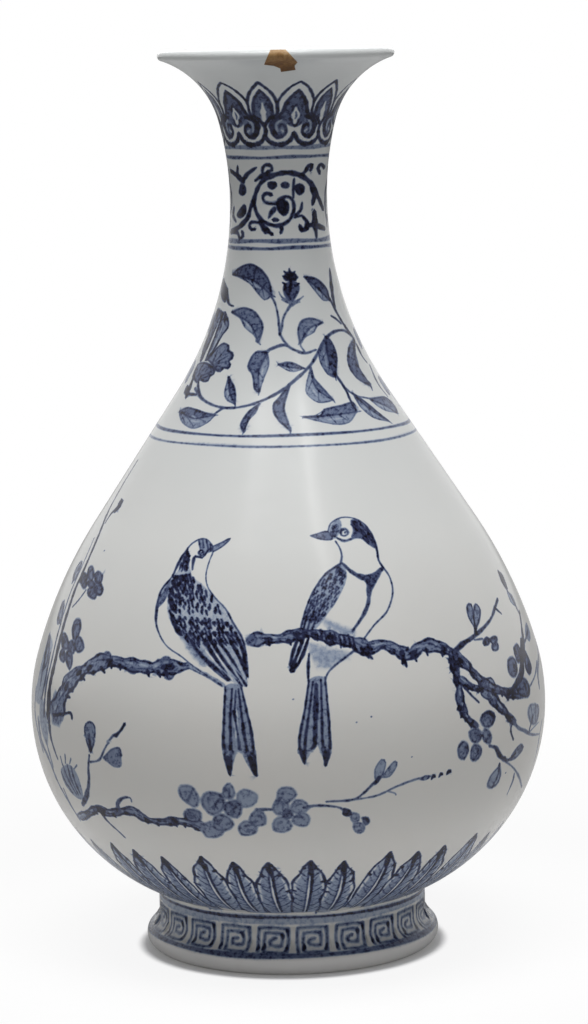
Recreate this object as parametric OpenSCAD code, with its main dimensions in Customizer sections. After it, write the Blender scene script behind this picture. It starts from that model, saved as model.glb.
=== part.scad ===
// Pear-shaped porcelain bottle vase: thrown in five sections that are luted together with clay slip.
// The origin is the centre of the foot's contact ring, +Z runs up the axis and -Y is the front.
// One line of tangent arcs runs from the foot to the lip, and the inside follows it at an even wall.

/* [Overall] */
// Height from the foot to the lip
height = 320; // [300:1:340]
// Widest diameter, at the belly
belly_d = 184; // [172:1:196]
// Diameter across the lip
mouth_d = 83.2; // [76:0.2:90]
// Narrowest diameter, at the neck
neck_d = 34.2; // [30:0.2:38]
// Thickness of the thrown wall, which is also the lip's
wall = 3.6; // [3:0.1:4.2]

/* [Curves] */
// Height of the widest point, as a share of the whole height
belly_share = 0.275; // [0.265:0.005:0.285]
// Height of the narrowest point, as a share of the whole height
neck_share = 0.8366; // [0.83:0.0002:0.845]
// Radius of the lower belly's curve
low_belly_r = 72; // [68:1:76]
// Angle above the widest point where the lower belly's curve ends
low_belly_end = 16.5; // [14:0.5:19]
// Radius of the upper belly's curve
high_belly_r = 171; // [160:1:182]
// Straight run between the belly's curve and the neck's
shoulder_run = 55; // [45:1:65]
// Radius of the throat's curve, above the neck's narrowest point
throat_r = 110; // [104:1:118]
// Radius of the curve that turns the lip out
flare_r = 30.4; // [28:0.2:33]

/* [Foot] */
// Diameter of the foot's upright part
foot_d = 96; // [92:0.5:100]
// Inside diameter of the foot ring
foot_bore_d = 79; // [74:0.5:82]
// Diameter across the rolled base of the foot
roll_d = 105.2; // [102:0.2:108]
// Radius of the rolled base
roll_r = 4.6; // [4:0.1:5.2]
// Radius of the hollow curve between the roll and the upright part
cove_r = 5; // [4:0.1:6]
// Bevel on the contact ring's inner edge
foot_bevel = 1.2; // [0.6:0.1:2]
// Thickness of the floor
floor_t = 6; // [4.5:0.1:8]

/* [Joints] */
// Thickness of the slip in each joint
slip_t = 0.8; // [0.5:0.1:1.2]
// Radius of the bead of slip squeezed out on the inside
slip_bead_r = 1.4; // [1:0.1:1.8]
// Place of the neck's joint, as a share of the straight run
neck_joint_share = 0.7; // [0.5:0.05:0.85]

/* [Rim repair] */
// Width of the filled chip in the lip
chip_w = 11.4; // [8:0.2:14]
// Depth of the filled chip below the lip
chip_h = 7.7; // [6:0.1:8.5]
// Offset of the chip's middle from the front, towards the right
chip_x = 1.7; // [-3:0.1:5]

/* [Hidden] */
$fn = 128;

porcelain = [0.80, 0.80, 0.78];
slip_white = [0.86, 0.84, 0.80];
lacquer_brown = [0.45, 0.31, 0.16];

// Longest step and widest turn between two points of a curve
curve_step = 4;
curve_turn = 10;

belly_r = belly_d / 2;
neck_r = neck_d / 2;
foot_r = foot_d / 2;
foot_bore_r = foot_bore_d / 2;
belly_z = height * belly_share;
neck_z = height * neck_share;

// Lower belly: its centre is level with the widest point
low_belly_c = [belly_r - low_belly_r, belly_z];
// The foot joins where the belly's underside comes in to the foot's upright part
low_belly_start = -acos((foot_r - low_belly_c[0]) / low_belly_r);
foot_joint_z = polar(low_belly_c, low_belly_r, low_belly_start)[1];
floor_top_z = foot_joint_z + floor_t;
floor_start = -asin((belly_z - floor_top_z) / (low_belly_r - wall));

// Upper belly: tangent to the lower belly's curve
high_belly_c = polar(low_belly_c, low_belly_r - high_belly_r, low_belly_end);

// Neck: a hollow curve, joined to the upper belly by a straight run that is tangent to both
neck_in = neck_r - high_belly_c[0];
neck_up = neck_z - high_belly_c[1];
neck_curve_r = (neck_in ^ 2 + neck_up ^ 2 - high_belly_r ^ 2 - shoulder_run ^ 2)
  / (2 * (high_belly_r - neck_in));
neck_c = [neck_r + neck_curve_r, neck_z];
run_angle = atan2(neck_c[1] - high_belly_c[1], neck_c[0] - high_belly_c[0])
  - atan2(shoulder_run, neck_curve_r + high_belly_r);
run_start = polar(high_belly_c, high_belly_r, run_angle);
neck_joint_z = run_start[1] + neck_joint_share * shoulder_run * cos(run_angle);

// Throat and lip: the lip's curve is tangent inside the throat's and ends in a half-round edge
throat_c = [neck_r + throat_r, neck_z];
lip_c = [mouth_d / 2 - wall / 2, height - wall / 2];
lip_way = lip_c - throat_c;
curve_gap = throat_r - flare_r;
flare_mid_r = flare_r + wall / 2;
throat_turn = acos((curve_gap ^ 2 + lip_way * lip_way - flare_mid_r ^ 2) / (2 * curve_gap * norm(lip_way)));
throat_end = atan2(lip_way[1], lip_way[0]) + throat_turn;
flare_c = polar(throat_c, curve_gap, throat_end);
flare_end = atan2(lip_c[1] - flare_c[1], lip_c[0] - flare_c[0]);

// Foot: the roll's centre, and the cove that touches both the roll and the upright part
roll_c = [roll_d / 2 - roll_r, roll_r];
cove_c = [
  foot_r + cove_r,
  roll_r + sqrt((cove_r + roll_r) ^ 2 - (foot_r + cove_r - roll_c[0]) ^ 2)
];
cove_angle = atan2(cove_c[1] - roll_c[1], cove_c[0] - roll_c[0]);
foot_top_z = foot_joint_z - slip_t;

// Half the angle that a layer of slip takes up on a curve of radius r
function slip_angle(r) = asin(slip_t / 2 / r);

// Point at a radius and an angle from a centre
function polar(c, r, a) = [c[0] + r * cos(a), c[1] + r * sin(a)];

// Points along an arc about a centre, from one angle to another
function arc(c, r, from, to) =
  let (
    turn = abs(to - from),
    steps = max(ceil(turn / curve_turn), ceil(r * turn * PI / 180 / curve_step))
  )
  [for (i = [0 : steps]) polar(c, r, from + (to - from) * i / steps)];

// The same points in the other order
function backwards(points) = [for (i = [len(points) - 1 : -1 : 0]) points[i]];

// Curves of the wall, from the foot up, at a depth in from the outside
function low_belly_line(depth, from, to) = arc(low_belly_c, low_belly_r - depth, from, to);
function high_belly_line(depth) = arc(high_belly_c, high_belly_r - depth, low_belly_end, run_angle);
function neck_line(depth) =
  arc(neck_c, neck_curve_r + depth, 180 + run_angle, 180 + slip_angle(neck_curve_r + depth));
function mouth_line(depth) = concat(
  arc(throat_c, throat_r + depth, 180 - slip_angle(throat_r + depth), throat_end),
  arc(flare_c, flare_r + depth, throat_end, flare_end)
);

// Point of the straight run at a height, at a depth in from the outside
function run_point(depth, z) =
  [run_start[0] - (z - run_start[1]) * tan(run_angle) - depth / cos(run_angle), z];

// Outline of the chip, seen from the front and cut through the lip
module chip() {
  half = chip_w / 2;
  spare = 2;
  translate([chip_x, 0, height])
    rotate([90, 0, 0])
      linear_extrude(height = mouth_d)
        polygon([
          [-0.6 * half, spare], [-0.6 * half, 0], [-0.9 * half, -0.46 * chip_h], [-half, -0.66 * chip_h],
          [-0.42 * half, -0.72 * chip_h], [-0.05 * half, -0.84 * chip_h], [0, -chip_h], [0.88 * half, -0.92 * chip_h],
          [0.82 * half, -0.73 * chip_h], [half, -0.58 * chip_h], [0.3 * half, 0], [0.3 * half, spare]
        ]);
}

// Mouth as it was thrown, before its lip was chipped
module whole_mouth() {
  rotate_extrude()
    polygon(concat(
      mouth_line(0),
      arc(lip_c, wall / 2, flare_end - 180, flare_end),
      backwards(mouth_line(wall))
    ));
}

// Foot: an upright ring with a hollow curve down to a rolled base, flat where it stands
module foot_ring() {
  color(porcelain)
    rotate_extrude()
      polygon(concat(
        [[foot_bore_r, foot_top_z], [foot_bore_r, foot_bevel], [foot_bore_r + foot_bevel, 0]],
        arc(roll_c, roll_r, -90, cove_angle),
        arc(cove_c, cove_r, 180 + cove_angle, 180),
        [[foot_r, foot_top_z]]
      ));
}

// Slip between the foot ring and the floor, with a fillet inside the foot
module foot_slip() {
  color(slip_white)
    rotate_extrude()
      polygon(concat(
        arc([foot_bore_r, foot_joint_z], slip_bead_r, 180, 270),
        [[foot_bore_r, foot_top_z], [foot_r, foot_top_z], [foot_r, foot_joint_z]]
      ));
}

// Thrown bowl: the floor and the wall up to the widest point
module lower_body() {
  color(porcelain)
    rotate_extrude()
      polygon(concat(
        [[0, foot_joint_z]],
        low_belly_line(0, low_belly_start, -slip_angle(low_belly_r)),
        low_belly_line(wall, -slip_angle(low_belly_r - wall), floor_start),
        [[0, floor_top_z]]
      ));
}

// Slip at the widest point, with a half-round bead on the inside
module belly_slip() {
  inside_r = low_belly_r - wall;
  lean = asin(slip_bead_r / (2 * inside_r));
  color(slip_white)
    rotate_extrude()
      polygon(concat(
        low_belly_line(0, -slip_angle(low_belly_r), slip_angle(low_belly_r)),
        [polar(low_belly_c, inside_r, slip_angle(inside_r))],
        arc([belly_r - wall, belly_z], slip_bead_r, 90 + lean, 270 - lean),
        [polar(low_belly_c, inside_r, -slip_angle(inside_r))]
      ));
}

// Thrown shoulder: from the widest point up to the neck's joint
module upper_body() {
  high = neck_joint_z - slip_t / 2;
  inside_r = low_belly_r - wall;
  color(porcelain)
    rotate_extrude()
      polygon(concat(
        low_belly_line(0, slip_angle(low_belly_r), low_belly_end),
        high_belly_line(0),
        [run_point(0, high), run_point(wall, high)],
        backwards(high_belly_line(wall)),
        low_belly_line(wall, low_belly_end, slip_angle(inside_r))
      ));
}

// Slip under the neck, with a bead on the inside
module neck_slip() {
  low = neck_joint_z - slip_t / 2;
  high = neck_joint_z + slip_t / 2;
  color(slip_white)
    rotate_extrude()
      polygon(concat(
        [run_point(0, low), run_point(0, high), run_point(wall, high)],
        arc(run_point(wall, neck_joint_z), slip_bead_r, 90 + run_angle, 270 + run_angle),
        [run_point(wall, low)]
      ));
}

// Thrown neck: it draws in from the shoulder to the narrowest point
module neck() {
  low = neck_joint_z + slip_t / 2;
  color(porcelain)
    rotate_extrude()
      polygon(concat(
        [run_point(0, low)],
        neck_line(0),
        backwards(neck_line(wall)),
        [run_point(wall, low)]
      ));
}

// Slip between the neck and the mouth, wiped flush on the inside so that the throat stays clear
module mouth_slip() {
  color(slip_white)
    rotate_extrude()
      polygon([
        polar(neck_c, neck_curve_r, 180 + slip_angle(neck_curve_r)),
        [neck_r, neck_z],
        polar(throat_c, throat_r, 180 - slip_angle(throat_r)),
        polar(throat_c, throat_r + wall, 180 - slip_angle(throat_r + wall)),
        [neck_r - wall, neck_z],
        polar(neck_c, neck_curve_r + wall, 180 + slip_angle(neck_curve_r + wall))
      ]);
}

// Thrown mouth: trumpet-shaped, with the chip cut out of its lip
module mouth() {
  color(porcelain)
    difference() {
      whole_mouth();
      chip();
    }
}

// Old brown fill that makes good the chip, flush with the lip
module rim_fill() {
  color(lacquer_brown)
    intersection() {
      whole_mouth();
      chip();
    }
}

foot_ring();
foot_slip();
lower_body();
belly_slip();
upper_body();
neck_slip();
neck();
mouth_slip();
mouth();
rim_fill();
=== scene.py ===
import math

import bpy
import numpy as np
from mathutils import Matrix, Vector
from mathutils.geometry import delaunay_2d_cdt


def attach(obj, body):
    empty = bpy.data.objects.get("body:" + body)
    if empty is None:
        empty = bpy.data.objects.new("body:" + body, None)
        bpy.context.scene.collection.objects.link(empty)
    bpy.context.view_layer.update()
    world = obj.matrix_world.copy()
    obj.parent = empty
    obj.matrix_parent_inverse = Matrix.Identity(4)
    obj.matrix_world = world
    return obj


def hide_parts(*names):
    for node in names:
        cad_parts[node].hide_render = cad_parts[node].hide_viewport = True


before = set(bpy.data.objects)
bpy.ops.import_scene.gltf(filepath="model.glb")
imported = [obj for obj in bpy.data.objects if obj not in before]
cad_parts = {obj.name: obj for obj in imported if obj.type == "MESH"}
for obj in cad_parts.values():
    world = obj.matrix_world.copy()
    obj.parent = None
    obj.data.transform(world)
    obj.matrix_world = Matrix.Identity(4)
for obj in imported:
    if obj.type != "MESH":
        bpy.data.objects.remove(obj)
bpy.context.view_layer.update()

# Foot ring
# The spreading foot of the vase, thrown in white porcelain clay and stuck under the floor with slip.
# It is glazed all over, with its rolled base painted paler as painted bounce light from the floor, and
# carries a band of key fret between two lines.
MM = 0.001
HEIGHT = 320.0
WALL = 3.6
FOOT_R = 48.0
FOOT_BORE_R = 39.5
FOOT_BEVEL = 1.2
ROLL_R = 4.6
ROLL_REACH = 52.6
ROLL_CENTRE = np.array((ROLL_REACH - ROLL_R, ROLL_R))
COVE_R = 5.0
SLIP = 0.8


def arc(centre, radius, start, end, step=0.6):
    """Points along an arc about a centre, from one angle to another, both in degrees."""
    count = max(6, math.ceil(radius * abs(math.radians(end - start)) / step))
    turn = np.radians(np.linspace(start, end, count + 1))
    return np.column_stack((centre[0] + radius * np.cos(turn), centre[1] + radius * np.sin(turn)))


def away(centre, radius, angle):
    """Point at a radius and an angle from a centre."""
    return np.array((centre[0] + radius * math.cos(math.radians(angle)),
                     centre[1] + radius * math.sin(math.radians(angle))))


def bearing(start, end):
    """Angle, in degrees, of the way from one point to another."""
    return math.degrees(math.atan2(end[1] - start[1], end[0] - start[0]))


cove_up = math.sqrt((COVE_R + ROLL_R) ** 2 - (FOOT_R + COVE_R - ROLL_CENTRE[0]) ** 2)
cove_centre = np.array((FOOT_R + COVE_R, ROLL_R + cove_up))
cove_angle = bearing(ROLL_CENTRE, cove_centre)

# The belly's two curves, the straight shoulder, and the hollow curves of the neck, throat and lip
BELLY_R = 92.0
BELLY_Z = 88.0
LOW_BELLY_R = 72.0
LOW_BELLY_END = 16.5
HIGH_BELLY_R = 171.0
SHOULDER_RUN = 55.0
NECK_R = 17.1
NECK_SHARE = 0.8366
NECK_Z = HEIGHT * NECK_SHARE
THROAT_R = 110.0
FLARE_R = 30.4
MOUTH_R = 41.6
low_belly = np.array((BELLY_R - LOW_BELLY_R, BELLY_Z))
low_belly_start = -math.degrees(math.acos((FOOT_R - low_belly[0]) / LOW_BELLY_R))
foot_joint_z = away(low_belly, LOW_BELLY_R, low_belly_start)[1]
high_belly = away(low_belly, LOW_BELLY_R - HIGH_BELLY_R, LOW_BELLY_END)
neck_in, neck_up = np.array((NECK_R, NECK_Z)) - high_belly
neck_curve_r = ((neck_in ** 2 + neck_up ** 2 - HIGH_BELLY_R ** 2 - SHOULDER_RUN ** 2)
                / (2 * (HIGH_BELLY_R - neck_in)))
neck_centre = np.array((NECK_R + neck_curve_r, NECK_Z))
run_turn = math.atan2(SHOULDER_RUN, neck_curve_r + HIGH_BELLY_R)
run_angle = bearing(high_belly, neck_centre) - math.degrees(run_turn)
throat = np.array((NECK_R + THROAT_R, NECK_Z))
lip = np.array((MOUTH_R - WALL / 2, HEIGHT - WALL / 2))
lip_way = np.linalg.norm(lip - throat)
curve_gap = THROAT_R - FLARE_R
throat_turn = math.degrees(math.acos(
    (curve_gap ** 2 + lip_way ** 2 - (FLARE_R + WALL / 2) ** 2) / (2 * curve_gap * lip_way)))
throat_end = bearing(throat, lip) + throat_turn
flare = away(throat, curve_gap, throat_end)
flare_end = bearing(flare, lip)


def body_line(depth):
    """The wall's line from the foot joint to the lip, at a depth in from the outside."""
    return np.concatenate((
        arc(low_belly, LOW_BELLY_R - depth, low_belly_start, LOW_BELLY_END),
        arc(high_belly, HIGH_BELLY_R - depth, LOW_BELLY_END, run_angle)[1:],
        arc(neck_centre, neck_curve_r + depth, 180 + run_angle, 180),
        arc(throat, THROAT_R + depth, 180, throat_end)[1:],
        arc(flare, FLARE_R + depth, throat_end, flare_end)[1:]))


outline = np.concatenate((
    arc(ROLL_CENTRE, ROLL_R, -90, cove_angle, 0.3),
    arc(cove_centre, COVE_R, 180 + cove_angle, 180, 0.3)[1:],
    body_line(0)))
inner_line = body_line(WALL)
lip_line = arc(lip, WALL / 2, flare_end - 180, flare_end, 0.3)
outline_run = np.concatenate(((0,), np.cumsum(np.linalg.norm(np.diff(outline, axis=0), axis=1))))


def radius_at(z):
    """Radius of the outside at a height."""
    return np.interp(z, outline[:, 1], outline[:, 0])


def run_at(z):
    """Length of the outline from the foot up to a height."""
    return np.interp(z, outline[:, 1], outline_run)


def wrapped(angle):
    """The same angle between minus and plus half a turn."""
    return (np.asarray(angle) + math.pi) % (2 * math.pi) - math.pi


def on_vase(angle, z):
    """Points in space on the outside of the vase, at angles from the front and at heights."""
    radius = radius_at(z)
    return np.column_stack((radius * np.sin(angle), -radius * np.cos(angle), z))


def curve_through(points, closed=False, step=1.25):
    """A smooth line through a few given points."""
    points = np.asarray(points, float)
    if closed:
        points = np.concatenate((points[-1:], points, points[:2]))
    else:
        points = np.concatenate(((2 * points[0] - points[1],), points, (2 * points[-1] - points[-2],)))
    pieces = []
    for before, start, end, after in zip(points[:-3], points[1:-2], points[2:-1], points[3:]):
        count = max(2, math.ceil(np.linalg.norm(end - start) / step))
        t = np.linspace(0, 1, count, endpoint=False)[:, None]
        pieces.append(0.5 * (2 * start + (end - before) * t
                             + (2 * before - 5 * start + 4 * end - after) * t ** 2
                             + (3 * start - before - 3 * end + after) * t ** 3))
    line = np.concatenate(pieces)
    return line if closed else np.concatenate((line, points[-2:-1]))


class Stroke:
    """One touch of cobalt: a brush line with a width along it, or a filled shape with a soft edge."""

    SOFT_WASH = 1.0
    THIN = 0.42
    HAIR = 0.03

    def __init__(self, angle, z, tone, soft, half=None):
        self.angle = np.asarray(angle)
        self.z = np.asarray(z)
        self.points = on_vase(self.angle, self.z)
        self.tone = tone
        self.soft = soft
        self.half = half

    def edges(self):
        """Lines along which the skin is cut, as angles and heights, each with whether it closes."""
        if self.half is None and self.soft > self.SOFT_WASH:
            return [(self.angle, self.z, True)]
        if self.half is None:
            return [(*self.beside(-self.soft / 2), True), (*self.beside(self.soft / 2), True)]
        outer = (*self.around(self.half + self.soft / 2), True)
        if self.half.max() < self.THIN:
            return [outer, (self.angle, self.z, False)]
        return [outer, (*self.around(np.maximum(self.half - self.soft / 2, self.HAIR)), True)]

    def sideways(self, closed):
        """Unit steps along the surface, square to the stroke."""
        points = self.points
        if closed:
            along = np.roll(points, -1, axis=0) - np.roll(points, 1, axis=0)
        else:
            along = np.gradient(points, axis=0)
        out = np.column_stack((np.sin(self.angle), -np.cos(self.angle), 0 * self.z))
        slope = np.gradient(outline[:, 0], outline[:, 1])
        out[:, 2] = -np.interp(self.z, outline[:, 1], slope)
        side = np.cross(out, along)
        return side / np.maximum(np.linalg.norm(side, axis=1), 1e-9)[:, None]

    def beside(self, gap):
        """The outline of a filled shape, moved in or out."""
        moved = self.points + gap * self.sideways(True)
        return np.arctan2(moved[:, 0], -moved[:, 1]), moved[:, 2]

    def around(self, half):
        """The outline of a brush line, with rounded ends."""
        side = self.sideways(False)
        along = np.gradient(self.points, axis=0)
        along /= np.maximum(np.linalg.norm(along, axis=1), 1e-9)[:, None]
        left = self.points + side * half[:, None]
        right = self.points - side * half[:, None]
        tip = self.points[-1] + along[-1] * half[-1]
        tail = self.points[0] - along[0] * half[0]
        loop = np.concatenate((left, (tip,), right[::-1], (tail,)))
        return np.arctan2(loop[:, 0], -loop[:, 1]), loop[:, 2]

    def cover(self, points, angle, z):
        """How much of the stroke's colour lies on each point, from 0 to 1."""
        amount = np.zeros(len(points))
        reach = self.soft + (0 if self.half is None else self.half.max())
        near = np.all((points > self.points.min(0) - reach) & (points < self.points.max(0) + reach), axis=1)
        chosen = np.flatnonzero(near)
        if not len(chosen):
            return amount
        start = self.points if self.half is None else self.points[:-1]
        end = np.roll(self.points, -1, axis=0) if self.half is None else self.points[1:]
        step = end - start
        length = np.maximum((step ** 2).sum(1), 1e-9)
        away_from = points[chosen][:, None, :] - start[None]
        t = np.clip((away_from * step).sum(2) / length, 0, 1)
        gap = np.linalg.norm(away_from - t[..., None] * step, axis=2)
        if self.half is None:
            middle = self.angle.mean()
            across = wrapped(angle[chosen] - middle)[:, None]
            up = z[chosen][:, None]
            x0, y0 = (self.angle - middle)[None], self.z[None]
            x1, y1 = np.roll(x0, -1, axis=1), np.roll(y0, -1, axis=1)
            rise = np.where(y1 == y0, 1e-9, y1 - y0)
            crosses = ((y0 > up) != (y1 > up)) & (across < x0 + (up - y0) / rise * (x1 - x0))
            inside = crosses.sum(1) % 2 == 1
            signed = gap.min(1) * np.where(inside, -1, 1)
        else:
            half = self.half[:-1][None] * (1 - t) + self.half[1:][None] * t
            signed = (gap - half).min(1)
        amount[chosen] = np.clip(0.5 - signed / self.soft, 0, 1)
        return amount


painting = []
EDGE = 0.6


class Spot:
    """A place on the vase where a motif is drawn in millimetres, turned and scaled."""

    def __init__(self, angle, z, turn=0.0, size=1.0, wide=1.0, flip=False):
        self.angle = angle
        self.z = z
        self.turn = math.radians(turn)
        self.size = size
        self.wide = wide
        self.flip = -1 if flip else 1

    def place(self, points):
        """Angles and heights of points that are drawn about the spot."""
        points = np.asarray(points, float) * self.size
        x, y = points[:, 0] * self.flip * self.wide, points[:, 1]
        across = x * math.cos(self.turn) - y * math.sin(self.turn)
        up = x * math.sin(self.turn) + y * math.cos(self.turn)
        z = self.z + up
        return self.angle + across / radius_at(z), z


class Front:
    """The vase seen from the front: millimetres across from the axis and up from the foot.

    The eye is above the belly, so that what is drawn on the shoulder and neck is set a little lower."""

    HEIGHTS = (125, 155, 185, 240)
    DROPS = (0, 0.6, 0.3, 0.8)
    EDGE_ON = 0.999
    PRESS = 0.8
    WIDEST = 2.8

    def __init__(self, turn=0.0):
        self.turn = turn

    def place(self, points):
        """Angles and heights of points that are drawn as the front shows them."""
        points = np.asarray(points, float)
        z = points[:, 1] - np.interp(points[:, 1], self.HEIGHTS, self.DROPS)
        side = np.clip(points[:, 0] / radius_at(z), -self.EDGE_ON, self.EDGE_ON)
        return self.turn + np.arcsin(side), z

    def widen(self, points):
        """How much wider a line is painted towards the sides, where the front sees it at a slant."""
        side = np.clip(points[:, 0] / radius_at(points[:, 1]), -self.EDGE_ON, self.EDGE_ON)
        along = np.gradient(points, axis=0)
        along /= np.maximum(np.linalg.norm(along, axis=1), 1e-9)[:, None]
        slant = np.sqrt(1 - side ** 2)
        across, up = along[:, 0] ** 2 / slant, along[:, 1] ** 2 * slant
        return self.PRESS * np.minimum(np.sqrt((across + up) / slant) / (across + up), self.WIDEST)


def line(where, points, width, tone=0.9, soft=EDGE):
    """A brush line through points, with one width or widths spread along it. A tone below 0 leaves white."""
    run = curve_through(points)
    widths = np.atleast_1d(np.asarray(width, float))
    half = np.interp(np.linspace(0, 1, len(run)), np.linspace(0, 1, len(widths)), widths) / 2
    step = np.arange(len(run))
    shake = 1 + 0.13 * np.sin(1.9 * step + 3 * run[0, 1]) + 0.1 * np.sin(0.8 * step + 5 * run[0, 0])
    if isinstance(where, Front):
        shake = shake * where.widen(run)
    painting.append(Stroke(*where.place(run), tone, soft, half * shake))


def shape(where, points, tone=0.5, soft=EDGE, step=1.1):
    """A filled shape with a round outline through points."""
    run = curve_through(points, closed=True, step=step)
    painting.append(Stroke(*where.place(run), tone, soft))


def patch(where, points, tone=0.5, soft=EDGE):
    """A filled shape with straight sides and sharp corners."""
    points = np.asarray(points, float)
    run = [a + (b - a) * t for a, b in zip(points, np.roll(points, -1, axis=0)) for t in (0, 0.5)]
    painting.append(Stroke(*where.place(run), tone, soft))


def ring(z, width, tone, waver=0.12):
    """A line run round the vase on the turning wheel."""
    angle = np.linspace(-math.pi, math.pi, 241)
    height = z + waver * np.sin(3 * angle + z) + 0.5 * waver * np.sin(7 * angle + 2 * z)
    half = width / 2 * (1 + 0.18 * np.sin(5 * angle + 3 * z))
    painting.append(Stroke(angle, height, tone, EDGE, half))


COLUMNS = 480
GRID = 2.4
SEAM_STEP = 0.8
MARGIN = 0.25
MERGED = 0.05
ON_WALL = 0.1
SAME_WAY = 0.7
INSIDE_UV = 0.13
OUTSIDE_UV = 0.14
OUTSIDE_TALL = 0.85


def skin(low, high, grid):
    """The painted outside between two heights, cut along the edges of every stroke that crosses it."""
    run_low, run_high = run_at(low), run_at(high)
    scale = radius_at(np.linspace(low, high, 40)).mean()
    half_turn = math.pi * scale
    coords = []
    edges = []

    def add_line(u, v, close=False):
        first = len(coords)
        coords.extend(zip(u, v))
        last = len(coords) - 1
        edges.extend((i, i + 1) for i in range(first, last))
        if close:
            edges.append((last, first))

    columns = np.linspace(-half_turn, half_turn, COLUMNS + 1)
    seam = np.linspace(run_low, run_high, max(2, math.ceil((run_high - run_low) / SEAM_STEP) + 1))
    add_line(columns, np.full(COLUMNS + 1, run_low))
    add_line(columns, np.full(COLUMNS + 1, run_high))
    add_line(np.full(len(seam), -half_turn), seam)
    add_line(np.full(len(seam), half_turn), seam)
    rows = np.arange(run_low + grid * 0.7, run_high - grid * 0.6, grid)
    count = int(2 * half_turn / grid)
    for i, row in enumerate(rows):
        shift = 0.25 if i % 2 else 0.75
        coords.extend((-half_turn + (k + shift) * 2 * half_turn / count, row) for k in range(count))
    for stroke in painting:
        if stroke.z.max() < low - 1 or stroke.z.min() > high + 1:
            continue
        for angle, z, closes in stroke.edges():
            u = wrapped(angle) * scale
            v = run_at(z)
            keep = ((v > run_low + MARGIN) & (v < run_high - MARGIN)
                    & (np.abs(u) < half_turn - MARGIN) & (z > low) & (z < high))
            order = np.append(np.arange(len(u)), 0) if closes else np.arange(len(u))
            for i, j in zip(order[:-1], order[1:]):
                if keep[i] and keep[j] and abs(u[j] - u[i]) < half_turn / 2:
                    edges.append((len(coords), len(coords) + 1))
                    coords.extend(((u[i], v[i]), (u[j], v[j])))
    found = delaunay_2d_cdt([Vector(c) for c in coords], edges, [], 0, MERGED, False)
    flat = np.array([(v[0], v[1]) for v in found[0]])
    faces = [tuple(f) for f in found[2]]
    angle = flat[:, 0] / scale
    z = np.interp(flat[:, 1], outline_run, outline[:, 1])
    return flat, angle, z, faces, half_turn, (run_low, run_high)


def ink_on(points, angle, z):
    """The cobalt on each point, laid stroke by stroke, each over those before it."""
    ink = np.zeros(len(points))
    for stroke in painting:
        if stroke.z.max() < z.min() - 2 or stroke.z.min() > z.max() + 2:
            continue
        cover = stroke.cover(points, angle, z)
        if stroke.tone < 0:
            ink *= 1 + stroke.tone * cover
        else:
            ink += np.maximum(stroke.tone - ink, 0) * cover
    return ink


def even_shading(mesh):
    """Shades the glazed walls by the true curve of the vase, and leaves the joint faces flat."""
    mesh.shade_smooth()
    corner_point = np.empty(len(mesh.loops), int)
    mesh.loops.foreach_get("vertex_index", corner_point)
    points = np.empty(len(mesh.vertices) * 3)
    mesh.vertices.foreach_get("co", points)
    points = points.reshape(-1, 3)[corner_point] / MM
    face_normal = np.repeat([p.normal for p in mesh.polygons], [p.loop_total for p in mesh.polygons], axis=0)
    radius = np.maximum(np.hypot(points[:, 0], points[:, 1]), 1e-6)
    z = points[:, 2]
    outward = np.column_stack((points[:, 0] / radius, points[:, 1] / radius))
    normals = face_normal.copy()
    best = np.full(len(z), SAME_WAY)
    for wall_line, side in ((outline, 1), (inner_line, -1), (lip_line, 0)):
        if side:
            slope = np.interp(z, wall_line[:, 1], np.gradient(wall_line[:, 0], wall_line[:, 1]))
            on_wall = np.abs(radius - np.interp(z, wall_line[:, 1], wall_line[:, 0])) < ON_WALL
            tilt = np.column_stack((outward * side, -slope * side))
        else:
            across, up = radius - lip[0], z - lip[1]
            on_wall = np.abs(np.hypot(across, up) - WALL / 2) < ON_WALL
            tilt = np.column_stack((outward * across[:, None], up))
        tilt /= np.linalg.norm(tilt, axis=1)[:, None] + 1e-9
        match = (tilt * face_normal).sum(1)
        better = on_wall & (match > best)
        normals[better] = tilt[better]
        best[better] = match[better]
    mesh.normals_split_custom_set(normals)


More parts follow.
